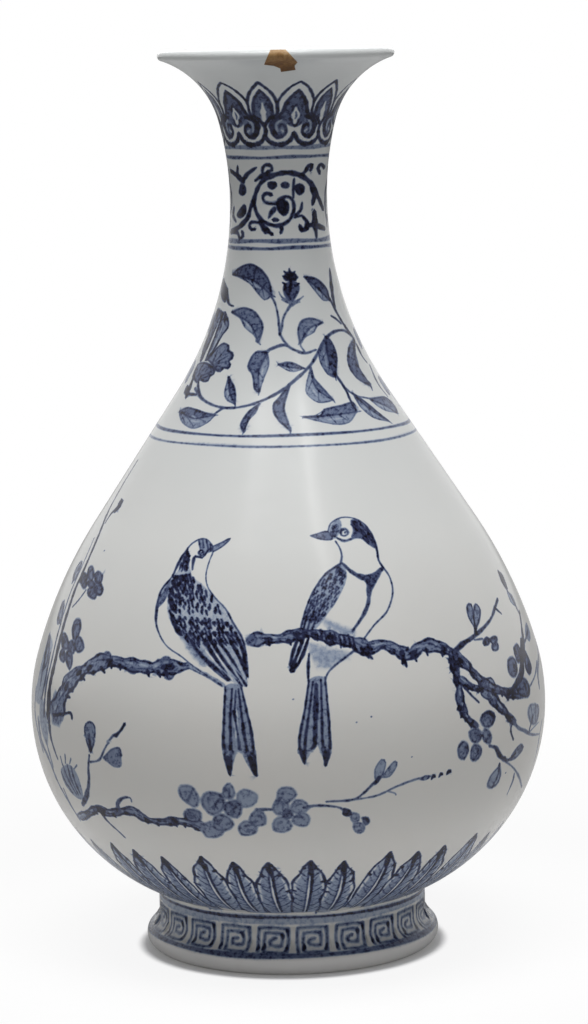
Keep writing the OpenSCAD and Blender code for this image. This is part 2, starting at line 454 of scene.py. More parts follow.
def thrown(name, low, high, inside, grid=GRID):
    """A turned section of the vase: its painted outside, and the line of its inside from top to bottom."""
    flat, angle, z, faces, half_turn, runs = skin(low, high, grid)
    points = on_vase(angle, z)
    first = np.arange(len(flat))
    right = np.flatnonzero(np.abs(flat[:, 0] - half_turn) < 1e-3)
    for i in np.flatnonzero(np.abs(flat[:, 0] + half_turn) < 1e-3):
        j = right[np.argmin(np.abs(flat[right, 1] - flat[i, 1]))]
        first[j] = i
    rings = []
    for run in runs[::-1]:
        edge = np.flatnonzero(np.abs(flat[:, 1] - run) < 1e-3)
        edge = edge[np.argsort(flat[edge, 0])]
        rings.append(first[edge[:-1]])
    used = np.unique(first)
    number = np.full(len(flat), -1)
    number[used] = np.arange(len(used))
    verts = [tuple(p) for p in points[used]]
    ink = list(ink_on(points[used], angle[used], z[used]))
    tris = []
    loops_uv = []
    top, bottom = number[rings[0]], number[rings[1]]
    run_low, run_high = runs

    def uv(i):
        up = (flat[i, 1] - run_low) / (run_high - run_low)
        return flat[i, 0] / half_turn * 0.5 + 0.5, OUTSIDE_UV + OUTSIDE_TALL * up

    for face in faces:
        if len({first[i] for i in face}) < 3:
            continue
        tris.append(tuple(int(number[first[i]]) for i in face))
        loops_uv.extend(uv(i) for i in face)
    turn = np.linspace(-math.pi, math.pi, COLUMNS + 1)[:-1]
    inside = np.asarray(inside, float)
    share = np.linspace(0.005, 0.125, len(inside) + 2)
    before = top
    for j, (radius, height) in enumerate([*inside, (None, None)]):
        if radius is None:
            after = bottom
        elif radius < 1e-6:
            after = [len(verts)] * COLUMNS
            verts.append((0.0, 0.0, height))
            ink.append(0.0)
        else:
            after = list(range(len(verts), len(verts) + COLUMNS))
            verts.extend((radius * math.sin(a), -radius * math.cos(a), height) for a in turn)
            ink.extend([0.0] * COLUMNS)
        for k in range(COLUMNS):
            m = (k + 1) % COLUMNS
            corners = [(before[k], k, j), (before[m], k + 1, j), (after[m], k + 1, j + 1),
                       (after[k], k, j + 1)]
            seen = []
            for c in corners:
                if c[0] not in [s[0] for s in seen]:
                    seen.append(c)
            if len(seen) > 2:
                tris.append(tuple(int(c[0]) for c in seen))
                loops_uv.extend((c[1] / COLUMNS, INSIDE_UV - share[c[2]]) for c in seen)
        before = after
    mesh = bpy.data.meshes.new(name)
    mesh.from_pydata([Vector(v) * MM for v in verts], [], tris)
    mesh.attributes.new("cobalt", "FLOAT", "POINT").data.foreach_set("value", ink)
    layer = mesh.uv_layers.new(name="OFBake")
    layer.data.foreach_set("uv", np.array(loops_uv).ravel())
    mesh.update()
    piece = bpy.data.objects.new(name, mesh)
    bpy.context.collection.objects.link(piece)
    even_shading(mesh)
    return piece


class Socket:
    """A shader socket that takes part in sums, so that a formula adds its own Math nodes."""

    def __init__(self, tree, socket):
        self.tree = tree
        self.socket = socket

    def node(self, kind, settings=None, out=0, **inputs):
        """A new node's output. Inputs go by name, or by number after an underscore."""
        made = self.tree.nodes.new(kind)
        for key, value in (settings or {}).items():
            if key == "stops":
                ramp = made.color_ramp
                while len(ramp.elements) < len(value):
                    ramp.elements.new(0.5)
                for element, (place, colour) in zip(ramp.elements, value):
                    element.position = place
                    element.color = (*colour, 1)
            else:
                setattr(made, key, value)
        for key, value in inputs.items():
            target = made.inputs[int(key[1:])] if key[0] == "_" else made.inputs[key.replace("_", " ")]
            if isinstance(value, Socket):
                self.tree.links.new(value.socket, target)
            else:
                target.default_value = value
        return Socket(self.tree, made.outputs[out])

    def maths(self, operation, first, second, clamp=False):
        """One sum of two values or sockets, held between 0 and 1 if clamped."""
        return self.node("ShaderNodeMath", {"operation": operation, "use_clamp": clamp}, _0=first, _1=second)

    def ease(self, low, high, start=0.0, end=1.0):
        """A smooth change from start to end while this socket goes from low to high."""
        return self.node("ShaderNodeMapRange", {"interpolation_type": "SMOOTHSTEP"},
                         _0=self, _1=low, _2=high, _3=start, _4=end)

    def blend(self, start, end):
        """A colour between two others, by the amount in this socket."""
        return self.node("ShaderNodeMix", {"data_type": "RGBA"}, out=2, _0=self, _6=start, _7=end)

    def __add__(self, other):
        return self.maths("ADD", self, other)

    def __radd__(self, other):
        return self.maths("ADD", other, self)

    def __sub__(self, other):
        return self.maths("SUBTRACT", self, other)

    def __mul__(self, other):
        return self.maths("MULTIPLY", self, other)


def new_material(name):
    """A material with a plain principled shader, and the socket that starts its formulas."""
    material = bpy.data.materials.new(name)
    material.use_nodes = True
    tree = material.node_tree
    shader = tree.nodes["Principled BSDF"]
    place = tree.nodes.new("ShaderNodeTexCoord").outputs["Object"]
    return material, shader, Socket(tree, place)


glaze, glaze_shader, place = new_material("painted_glaze")
cobalt = place.node("ShaderNodeAttribute", {"attribute_name": "cobalt"}, out=2)
broad = place.node("ShaderNodeTexNoise", Vector=place, Scale=90.0, Detail=2.0)
grain = place.node("ShaderNodeTexNoise", Vector=place, Scale=650.0, Detail=2.0, Roughness=0.65)
heaped = grain.ease(0.47, 0.68)
density = place.maths("MULTIPLY", cobalt, 0.5 + broad * 0.34 + grain * 0.5 + heaped * 0.4, True)
height = place.node("ShaderNodeSeparateXYZ", out=2, Vector=place)
clear = height.ease(0.06, 0.24).blend((0.625, 0.605, 0.575, 1), (0.60, 0.615, 0.615, 1))
thick = place.node("ShaderNodeTexNoise", Vector=place, Scale=28.0, Detail=4.0, Roughness=0.6)
clear = (thick * 0.5).blend(clear, (0.56, 0.585, 0.58, 1))
# The rolled base is painted paler: painted bounce light from the floor.
painted_bounce_on_roll = height.ease(0.0055, 0.007, 1.0, 0.0)
clear = painted_bounce_on_roll.blend(clear, (0.86, 0.845, 0.82, 1))
blue = place.node("ShaderNodeValToRGB", {"stops": [
    (0.0, (0.60, 0.61, 0.61)), (0.25, (0.245, 0.295, 0.39)), (0.5, (0.076, 0.1, 0.185)),
    (0.72, (0.021, 0.026, 0.07)), (1.0, (0.003, 0.002, 0.009))]}, _0=density)
colour = density.ease(0.0, 0.2).blend(clear, blue)
glaze.node_tree.links.new(colour.socket, glaze_shader.inputs["Base Color"])
ripple = place.node("ShaderNodeTexNoise", Vector=place, Scale=45.0, Detail=2.0)
uneven = place.node("ShaderNodeBump", Strength=0.12, Distance=0.002, Height=ripple)
glaze.node_tree.links.new(uneven.socket, glaze_shader.inputs["Normal"])
glaze_shader.inputs["Roughness"].default_value = 0.2
glaze_shader.inputs["Specular IOR Level"].default_value = 0.25


def settle(piece, material, slot, *nodes):
    """Gives a section its finish, ties it to the vase and lets it stand for its CAD nodes."""
    piece.data.materials.append(material)
    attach(piece, "root")
    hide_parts(*nodes)


# Painted band of the foot: square spirals between two lines
FRETS = 22
ring(7.3, 1.9, 0.56)
ring(20.1, 1.1, 0.78)
ring(18.8, 2.4, 0.24)
for k in range(FRETS):
    fret = Spot(2 * math.pi * (k + 0.5) / FRETS, 8.2, turn=1.5 * math.sin(5.0 * k))
    sway = 0.4 * math.sin(3.1 * k)
    patch(fret, [(-5.9, 0), (5.9, 0), (5.9, 8.8), (-5.9, 8.8)], 0.1, 0.9)
    for points, widths, tone in (
            ([(-5.4, 0.2), (-5.5, 4), (-5.2, 8.2)], (1.5, 1.1, 1.2), 0.64),
            ([(-5.2, 8.3), (0, 8.5), (5.0, 8.2)], (1.1, 1.4, 1.1), 0.56),
            ([(5.0, 8.2), (5.2, 4), (4.9, 0.4)], (1.3, 1.2, 1.4), 0.68),
            ([(4.7, 0.3), (1, 0.1), (-3.2, 0.3)], (1.2, 1.3, 0.9), 0.6),
            ([(-3.2, 0.4), (-3.4, 3), (-3.1, 6.2)], (1.4, 1.1, 1.0), 0.66),
            ([(-3.1, 6.3), (0, 6.5), (2.8 + sway, 6.2)], (0.9, 1.3, 1.2), 0.6),
            ([(2.8 + sway, 6.2), (3.0, 4), (2.7, 2.2)], (1.3, 1.1, 1.1), 0.7),
            ([(2.7, 2.1), (1, 2.0), (-1.1, 2.3)], (1.1, 1.2, 0.8), 0.62),
            ([(-1.1, 2.3), (-1.2, 3.7), (0.8, 4.4 + sway)], (1.1, 1.4, 1.2), 0.66)):
        line(fret, points, np.multiply(widths, 0.84), tone - 0.1, 0.9)
    for x, z, drop in ((4.9, 7.9, 2.0), (2.9 + sway, 6.0, 1.5), (-3.2, 0.8, -1.6), (4.8, 0.7, -1.6),
                       (-5.4, 0.7, -1.4)):
        if math.sin(2.3 * k + 1.7 * x + z) > -0.35:
            line(fret, [(x - 0.5, z), (x, z - drop * 0.4), (x + 0.1, z - drop)], (0.8, 1.3, 0.6), 0.93)
    line(fret, [(6.6, 0.6), (6.7, 4.5), (6.5, 8.2)], (0.5, 0.7, 0.5), -0.5)

foot_top_z = foot_joint_z - SLIP
foot_inside = np.concatenate((
    [(FOOT_BORE_R, foot_top_z), (FOOT_BORE_R, FOOT_BEVEL), (FOOT_BORE_R + FOOT_BEVEL, 0)],
    arc(ROLL_CENTRE, ROLL_R, -90, 0)[:-1]))
foot_ring = thrown("foot_ring_glazed", ROLL_R, foot_top_z, foot_inside, 1.0)
settle(foot_ring, glaze, "porcelain", "foot_ring")

# Belly: lower body, upper body and the slip under and between them
# Two thrown bowls luted rim to rim at the widest point, and scraped smooth, so that the joint doesn't show.
# Both are painted after luting: a collar of plantain leaves, then birds on a flowering branch.
BEAD_R = 1.4
FLOOR = 6.0
NECK_JOINT_SHARE = 0.7
floor_top_z = foot_joint_z + FLOOR
neck_joint_z = (away(high_belly, HIGH_BELLY_R, run_angle)[1]
                + NECK_JOINT_SHARE * SHOULDER_RUN * math.cos(math.radians(run_angle)))


def outlined(where, points, tone, edge=0.85, width=0.55):
    """A washed shape inside a dark line."""
    shape(where, points, tone)
    line(where, [*points, points[0]], width, edge)


def soft_petal(where, points, tone, edge):
    """A petal with a soft border, a darker line a little inside it and a dark arc round its heart."""
    points = np.asarray(points, float)
    middle = points.mean(0)
    shape(where, points, tone, 1.0)
    rim = middle + (points - middle) * 0.84
    line(where, [*rim, rim[0]], (0.8, 0.5, 1.0, 0.6, 0.8), edge, 0.7)
    heart = middle + (points - middle) * 0.4
    line(where, heart[1:5], (0.5, 1.2, 0.5), min((tone + edge) / 2 + 0.06, 0.9), 0.8)


def petal(where, x, z, wide, tall, turn=0.0, tone=0.45, edge=0.62):
    """A soft petal of a ragged oval shape."""
    around = np.radians(np.arange(0, 360, 45) + 40 * math.sin(x + 2 * z))
    lean = math.radians(turn)
    ragged = 1 + 0.08 * np.sin(3 * around + x + z)
    across, up = wide / 2 * np.cos(around) * ragged, tall / 2 * np.sin(around) * ragged
    soft_petal(where, np.column_stack((x + across * math.cos(lean) - up * math.sin(lean),
                                       z + across * math.sin(lean) + up * math.cos(lean))), tone, edge)


def branch(where, points, width, tone=0.5):
    """A gnarled branch: a pale wash, broken dark edges, knots, streaks of bark and thorns under it."""
    run = curve_through(points, step=1.0)
    count = len(run)
    step = np.arange(count)
    widths = np.atleast_1d(np.asarray(width, float))
    wide = 1.2 * np.interp(step / (count - 1), np.linspace(0, 1, len(widths)), widths)
    wide = wide * (1 + 0.2 * np.sin(0.45 * step + run[0, 0]) + 0.12 * np.sin(1.1 * step + run[0, 1]))
    along = np.gradient(run, axis=0)
    along /= np.linalg.norm(along, axis=1)[:, None]
    below = np.column_stack((along[:, 1], -along[:, 0])) * wide[:, None]
    line(where, run, wide * 1.16, tone - 0.06)
    k = 0
    while k < count - 2:
        reach = 3 + int(2.6 * (1 + math.sin(2.3 * k + run[0, 0])))
        end = min(k + reach, count - 1)
        middle = (k + end) // 2
        press = 0.5 + 0.5 * math.sin(1.7 * k + run[0, 1])
        line(where, run[k:end + 1] + below[k:end + 1] * 0.42, (0.4, 0.9 + 1.2 * press, 0.5),
             0.82 + 0.14 * press)
        line(where, run[k:end + 1] - below[k:end + 1] * 0.44, (0.3, 1.3 - 0.8 * press, 0.4),
             0.88 - 0.2 * press)
        drift = 0.2 * math.sin(1.9 * k)
        line(where, [run[k] + below[k] * drift, run[middle] + below[middle] * (drift - 0.1),
                     run[end] + below[end] * drift], (0.3, 0.7, 0.3), 0.74)
        if press < 0.6:
            line(where, [run[k] - below[k] * 0.16, run[middle] - below[middle] * 0.1], (0.5, 1.1, 0.5), -0.45)
        if press > 0.8:
            line(where, [run[middle] - along[middle] * 0.7, run[middle] + along[middle] * 0.7],
                 wide[middle] * 0.5, 0.96)
        if math.sin(2.9 * k + run[0, 1]) > 0:
            line(where, [run[middle] + below[middle] * 0.3,
                         run[middle] + below[middle] * 0.7 + along[middle] * 0.5], (1.6, 0.7), 0.95)
        k += max(2, reach - 1)


def dabs(where, left, right, rows, across, length, width, tone):
    """Short feather touches in rows between two edges, laid along the body."""
    left_run, right_run = curve_through(left), curve_through(right)
    for i in range(rows):
        t = (i + 0.5) / rows
        k = int(t * (len(left_run) - 3))
        m = int(t * (len(right_run) - 3))
        ahead = left_run[k + 2] + right_run[m + 2] - left_run[k] - right_run[m]
        ahead /= np.linalg.norm(ahead)
        for j in range(across):
            s = (j + 0.5 + 0.2 * math.sin(7.0 * i + 3.0 * j) + 0.5 * (i % 2)) / (across + 0.5)
            start = left_run[k] + (right_run[m] - left_run[k]) * s
            reach = length * (1 + 0.3 * math.sin(5.0 * i + 2.0 * j))
            line(where, [start, start + ahead * reach / 2, start + ahead * reach],
                 (width, width * 0.85, width * 0.3), tone + 0.08 * math.sin(11.0 * i + j))


LEAVES = 38
LEAF_SHAPE = ((0, 0), (2.4, 0.34), (5.2, 0.66), (8.6, 0.9), (12.5, 1.0), (16.5, 0.98), (20.5, 0.88),
              (24.8, 0.66))
for k in (*range(0, LEAVES, 2), *range(1, LEAVES, 2)):
    tip = 25.2 + 1.1 * math.sin(4.0 * k)
    half = 5.5 + 0.6 * math.sin(2.7 * k + 1)
    leaf = Spot(2 * math.pi * (k + 0.5) / LEAVES, 22.4, turn=4.0 * math.sin(2.1 * k))
    right, left = ([(flip * (half * part + (0.4 * math.sin(2.9 * i + k + flip) if i else 0)), tip - drop)
                    for i, (drop, part) in enumerate(LEAF_SHAPE)] for flip in (1, -1))
    shape(leaf, [*right, *left[:0:-1]], -1.0)
    shape(leaf, [*right, *left[:0:-1]], 0.29 + 0.05 * math.sin(5.0 * k))
    shape(leaf, [(0, tip - 6), (half * 0.5, tip - 13), (half * 0.35, tip - 22), (-half * 0.35, tip - 22),
                 (-half * 0.5, tip - 13)], 0.38, 2.4)
    for flip, side in ((1, right), (-1, left)):
        line(leaf, [(x * 0.84, z - 0.6) for x, z in side[2:6]], (0.6, 1.0, 0.6), -0.6)
        for j in range(8):
            root = 1.6 + 2.4 * j
            reach = half * (0.94 if j < 6 else 0.66) * (0.85 + 0.15 * math.sin(3.0 * j + k))
            line(leaf, [(flip * 0.6, root), (flip * reach * 0.6, root + 1.2), (flip * reach, root + 3.0)],
                 (0.3, 0.6, 0.3), 0.58 + 0.12 * math.sin(2.0 * j + k))
        line(leaf, side, (1.2, 0.7, 1.0, 0.5, 0.9, 0.5, 0.7), 0.84)
        for i in (1, 2, 3, 4):
            if math.sin(2.1 * i + 1.3 * k + flip) > 0:
                x, z = side[i]
                line(leaf, [(x * 0.8, z - 0.4), (x * 1.04, z + 0.3)], (1.2, 0.7), 0.92)
    bend = 0.5 * math.sin(k)
    line(leaf, [(0.1, tip - 4.5), (bend, 10), (0, 0.6)], (0.6, 1.1, 0.9), -0.85)
    line(leaf, [(0.7, tip - 3), (bend + 0.85, 11), (0.6, 0.6)], (1.2, 0.8, 0.7), 0.92)
    line(leaf, [(-0.5, tip - 3), (bend - 0.7, 10), (-0.5, 0.6)], (0.7, 0.4, 0.5), 0.72)
    line(leaf, [(-0.3, tip - 0.4), (0.3 * math.sin(3.0 * k), tip - 2.6), (0.4, tip - 6)], (1.3, 2.0, 0.7),
         0.98)


def left_bird(face):
    """A thrush-like bird that looks over its shoulder to the right."""
    back = [(-33.5, 153), (-36.5, 146.5), (-39, 142.5), (-40.5, 134.5), (-39.5, 130), (-36.5, 126),
            (-32.5, 125.5), (-29, 120), (-23, 114.5), (-19.5, 111.5), (-14, 109.5), (-13.5, 113),
            (-14.5, 121), (-16, 126.5), (-19, 131), (-21.5, 135.5), (-25, 139), (-28.5, 142.5),
            (-31.5, 144.5), (-32.5, 148.5)]
    shape(face, back, 0.2, 0.7)
    line(face, [(-35, 126), (-31.5, 121.5), (-28, 117)], (2.4, 4.6, 2.4), 0.4, 2.6)
    line(face, [(-33, 153.5), (-36, 149), (-38.5, 144)], (0.7, 1.3, 0.8), 0.82)
    dabs(face, [(-33.5, 153), (-38, 144.5)], [(-32.3, 150.5), (-33.5, 143.5)], 6, 4, 1.3, 0.85, 0.92)
    dabs(face, [(-38.5, 144), (-40.5, 136), (-39.5, 130)], [(-32, 145), (-24.5, 138.5), (-19.5, 131)],
         12, 8, 1.3, 1.0, 0.93)
    dabs(face, [(-39.5, 131.5), (-36.5, 126), (-30, 121)], [(-19.5, 131), (-16, 126), (-14.5, 120)],
         11, 9, 1.35, 1.0, 0.93)
    for x, z in ((-38.6, 142.6), (-39.6, 140.2), (-39.8, 137.8), (-39.4, 135.4), (-39.6, 133),
                 (-39, 130.6), (-38, 128.4)):
        line(face, [(x, z), (x + 0.9, z - 1.6), (x + 2.2, z - 3)], (0.9, 1.7, 0.7), 0.97)
    for feather in ([(-34, 126), (-29, 119.5), (-23, 114.5), (-20, 111.5)],
                    [(-29.5, 126.5), (-25.5, 120.5), (-19.5, 112)],
                    [(-26.5, 125.5), (-22, 119), (-15.5, 110)],
                    [(-23.5, 125), (-19, 118.5), (-14, 110)],
                    [(-20.5, 126.5), (-16.5, 120), (-13.5, 113)],
                    [(-17.5, 127), (-15, 121.5), (-14, 115.5)]):
        line(face, feather, (0.7, 1.5, 1.5, 0.9), 0.9)
    line(face, [(-31.5, 121.5), (-25, 115), (-21, 112)], (0.5, 0.8, 0.4), 0.75)
    for start, end in (((-27.5, 121), (-18.5, 111.8)), ((-24, 120), (-16.5, 111.5)),
                       ((-21, 120.5), (-14.5, 112))):
        line(face, [start, ((start[0] + end[0]) / 2 - 0.3, (start[1] + end[1]) / 2), end], (0.3, 0.6, 0.3),
             -0.75)
    line(face, [(-24.5, 152.5), (-26, 149), (-27, 145), (-26.5, 141.5), (-24, 138), (-20.5, 134.5),
                (-18, 130), (-15.5, 126), (-14, 121), (-13.5, 113)],
         (0.5, 0.35, 0.35, 0.45, 0.6, 0.8, 0.8, 0.9, 1.1), 0.74)
    line(face, [(-33, 153.5), (-31.5, 155), (-28.5, 156.5), (-26, 156), (-24.5, 154)], (0.6, 0.5, 0.6), 0.75)
    shape(face, [(-29.5, 156), (-27, 156.3), (-25, 155), (-24.5, 153), (-27, 152), (-29, 153)], 0.36)
    for start, end in (((-29.3, 155.8), (-28.8, 153.6)), ((-28, 156.2), (-27.6, 153.8)),
                       ((-26.6, 156), (-26.2, 153.4)), ((-25.4, 155), (-25.2, 152.8))):
        line(face, [start, end], (0.7, 0.5), 0.74)
    outlined(face, [(-24.5, 154.3), (-22, 155.4), (-18.6, 156.9), (-21, 154.6), (-24.5, 152.7)], 0.42, 0.8,
             0.5)
    line(face, [(-26, 153.4), (-28.2, 150.6), (-30.6, 151), (-31.4, 148.6), (-31.6, 146.6)],
         (0.8, 0.9, 0.9, 1.3, 0.5), 0.78)
    petal(face, -28.5, 152.1, 1.9, 1.9, 0, -1.0, 0.85)
    line(face, [(-28.6, 152.0), (-28.3, 152.1)], 0.6, 0.95)
    line(face, [(-39, 143.5), (-42.5, 139), (-44, 133), (-44, 127.5), (-41, 122), (-35.5, 118.5),
                (-30.5, 115), (-22, 110)], (0.6, 1.0, 1.2, 0.45, 0.4, 0.4, 0.45, 0.5), 0.8)
    shape(face, [(-39, 143), (-42, 138.8), (-44, 133.5), (-41.2, 136), (-39.6, 139.5)], 0.5)
    line(face, [(-34, 116), (-27.5, 113.4), (-21.5, 110)], (0.8, 1.6, 1.6), 0.3)
    line(face, [(-34, 115.4), (-27.5, 112.7), (-22, 109.6)], (0.4, 0.5, 0.5), 0.6)
    shape(face, [(-21, 109.5), (-21.8, 98), (-21.8, 87), (-20, 80.5), (-18.2, 86), (-16.5, 89.5),
                 (-15, 85.5), (-11.2, 80.3), (-12.3, 94), (-14.2, 102), (-15.6, 109.5)], 0.34)
    line(face, [(-18, 105), (-17.6, 97), (-17.5, 93)], (1.0, 1.8, 0.8), -0.8)
    for feather in ([(-21, 109.5), (-21.5, 101), (-22, 92), (-21.5, 86), (-20, 80)],
                    [(-18.7, 109), (-19.5, 99.5), (-19.6, 91), (-19.5, 82)],
                    [(-15.6, 109.5), (-14, 102), (-12.6, 95), (-11.6, 86), (-11, 80)],
                    [(-16.6, 109), (-15.6, 99.5), (-14.5, 91), (-12.5, 82)]):
        line(face, feather, (0.6, 0.9, 1.2, 1.3, 0.9), 0.86)
    line(face, [(-17.5, 108.5), (-18, 101), (-17.2, 94.5), (-16.6, 89)], (0.5, 0.9, 0.8, 1.2), 0.78)
    line(face, [(-20.6, 86), (-20, 80.4)], (2.2, 1.2), 0.95)
    line(face, [(-13, 86), (-11.6, 80.4)], (2.0, 1.2), 0.95)
    line(face, [(-18.2, 101.5), (-17.9, 99.8)], 1.4, 0.95)


def right_bird(face):
    """A capped bird with a dark collar, seen from behind, that looks to the left."""
    line(face, [(13, 130), (18.5, 127), (22, 126)], (2.0, 3.4, 2.2), 0.34, 3.0)
    shape(face, [(7.5, 123.5), (13, 122), (21.5, 119.5), (16, 116.2), (13, 114.8), (9.5, 116), (7.5, 120)],
          0.24, 1.6)
    shape(face, [(18.5, 148), (13.5, 145), (10, 141), (7.5, 136.5), (5.5, 131), (4.5, 128), (7, 126.5),
                 (10, 128), (13, 131.5), (17, 136.5), (20, 142), (20.5, 145.5)], 0.28, 0.5)
    dabs(face, [(17.5, 147.5), (11.5, 143), (7.5, 136.5), (5, 129)],
         [(20.6, 145), (19, 140), (15, 134), (9, 127.5)], 15, 6, 1.2, 0.72, 0.8)
    line(face, [(18.5, 148.3), (13.5, 145.3), (10, 141.2), (7.4, 136.6), (5.4, 131), (4.5, 127.5)],
         (0.9, 0.7, 0.6, 0.7), 0.84)
    for feather in ([(8.5, 137), (6.5, 131), (5, 126)], [(10.5, 137), (8, 131), (6.5, 126.5)],
                    [(12.5, 136), (10, 131), (8, 127)]):
        line(face, feather, (0.5, 0.7, 0.9), 0.84)
    outlined(face, [(8.6, 157.5), (11.5, 158.2), (14.5, 158.6), (16, 156.2), (12, 156.3)], 0.5, 0.74, 0.45)
    shape(face, [(15, 159), (16.5, 161.4), (18.5, 162.2), (19.3, 160.2), (17.5, 156.6), (15.4, 156.6)], 0.34)
    dabs(face, [(14.9, 157.5), (16.2, 161), (19.5, 162)], [(17.2, 156.8), (18, 159), (19.6, 160.2)], 4, 3,
         1.0, 0.7, 0.74)
    shape(face, [(22.4, 161.8), (25.5, 161), (28.5, 157.8), (30.5, 154), (30.6, 152.2), (28, 153.8),
                 (25.5, 155.8), (22.5, 156), (23, 158.5)], 0.6)
    dabs(face, [(22.3, 160), (25, 156.6), (29.8, 152.6)], [(24, 161.8), (28.5, 158.5), (30.8, 153.5)], 6,
         3, 1.6, 0.95, 0.92)
    line(face, [(17.6, 156.4), (20, 155.4), (23, 156)], (0.8, 1.3, 0.9), 0.6)
    petal(face, 20.1, 158.1, 3.0, 2.8, 0, -1.0, 0.7)
    line(face, [(19.4, 158.6), (20.6, 158.9), (21.2, 158)], 0.5, 0.8)
    line(face, [(20.2, 157.9), (20.5, 158.1)], 0.6, 0.9)
    line(face, [(14.5, 158.5), (15.5, 161), (18.5, 162.5), (21.5, 162.6), (25, 161.5), (28, 159),
                (30, 155.5), (31, 152), (31.5, 148.5), (33, 146)], (0.45, 0.45, 0.45, 0.6, 0.8, 0.9, 0.7),
         0.82)
    line(face, [(33, 146), (35, 143), (36, 139), (35.5, 135.5), (33.5, 131.5), (29.5, 128), (26, 124)],
         (0.7, 0.6, 0.6, 0.5), 0.78)
    line(face, [(17, 155.5), (18.5, 153), (19, 150.5), (18.5, 148.5)], (0.6, 0.6, 0.8), 0.76)
    line(face, [(19, 148.5), (22, 145.6), (25.5, 143.6), (29, 143.5), (32.6, 145.6)],
         (0.8, 1.7, 2.4, 2.4, 1.6), 0.72)
    shape(face, [(24.5, 144), (28, 142.8), (32.4, 145), (30.5, 141.5), (27.6, 137.6), (27, 141.5)], 0.74)
    line(face, [(28, 140), (27.5, 135), (25.5, 131), (22, 126.5)], (2.2, 1.6, 1.3, 1.0), 0.68)
    for feather in ([(6, 127), (4.5, 122.5), (1, 114.7)], [(7.2, 125), (4.7, 119), (1.6, 114.5)],
                    [(3.8, 125.5), (1.7, 120), (1, 116.5)]):
        line(face, feather, (1.0, 1.6, 1.5), 0.92)
    line(face, [(4.9, 121.5), (3.2, 117.5)], (0.3, 0.5), -0.7)
    line(face, [(22, 120), (16, 116), (13.3, 113.5), (12.6, 111.5)], (0.9, 0.7, 0.6), 0.72)
    line(face, [(7.2, 120), (6.8, 115), (6.8, 111.5)], (0.6, 1.3, 0.8), 0.86)
    shape(face, [(7, 111.5), (5.6, 102.5), (3.8, 93.5), (3.7, 88.5), (5, 84.5), (7, 87.5), (8.6, 91),
                 (10.5, 87.5), (12, 83.5), (13.4, 88), (13.4, 95.5), (13, 104), (12.4, 112)], 0.32)
    line(face, [(9.4, 110), (9, 100.5), (8.6, 92)], (1.8, 2.2, 1.6), 0.78)
    for feather in ([(7, 111.5), (5.5, 102.5), (3.6, 93.5), (3.6, 88.5), (5, 84)],
                    [(8.3, 111), (7, 102), (5.6, 93.5), (5, 85.5)],
                    [(12.4, 112.3), (13, 104), (13.5, 95.5), (13.5, 88), (12, 83)],
                    [(11, 111.5), (11.1, 100.5), (11.1, 92), (12, 84)]):
        line(face, feather, (0.7, 0.8, 1.0, 1.3, 1.0), 0.86)
    line(face, [(4.6, 88), (5, 84.4)], (2.2, 1.4), 0.9)
    line(face, [(12.5, 87.5), (12, 83.6)], (2.4, 1.4), 0.93)
    line(face, [(8.6, 93), (8.4, 90), (6.5, 88.5)], (1.2, 1.6, 0.8), 0.97)


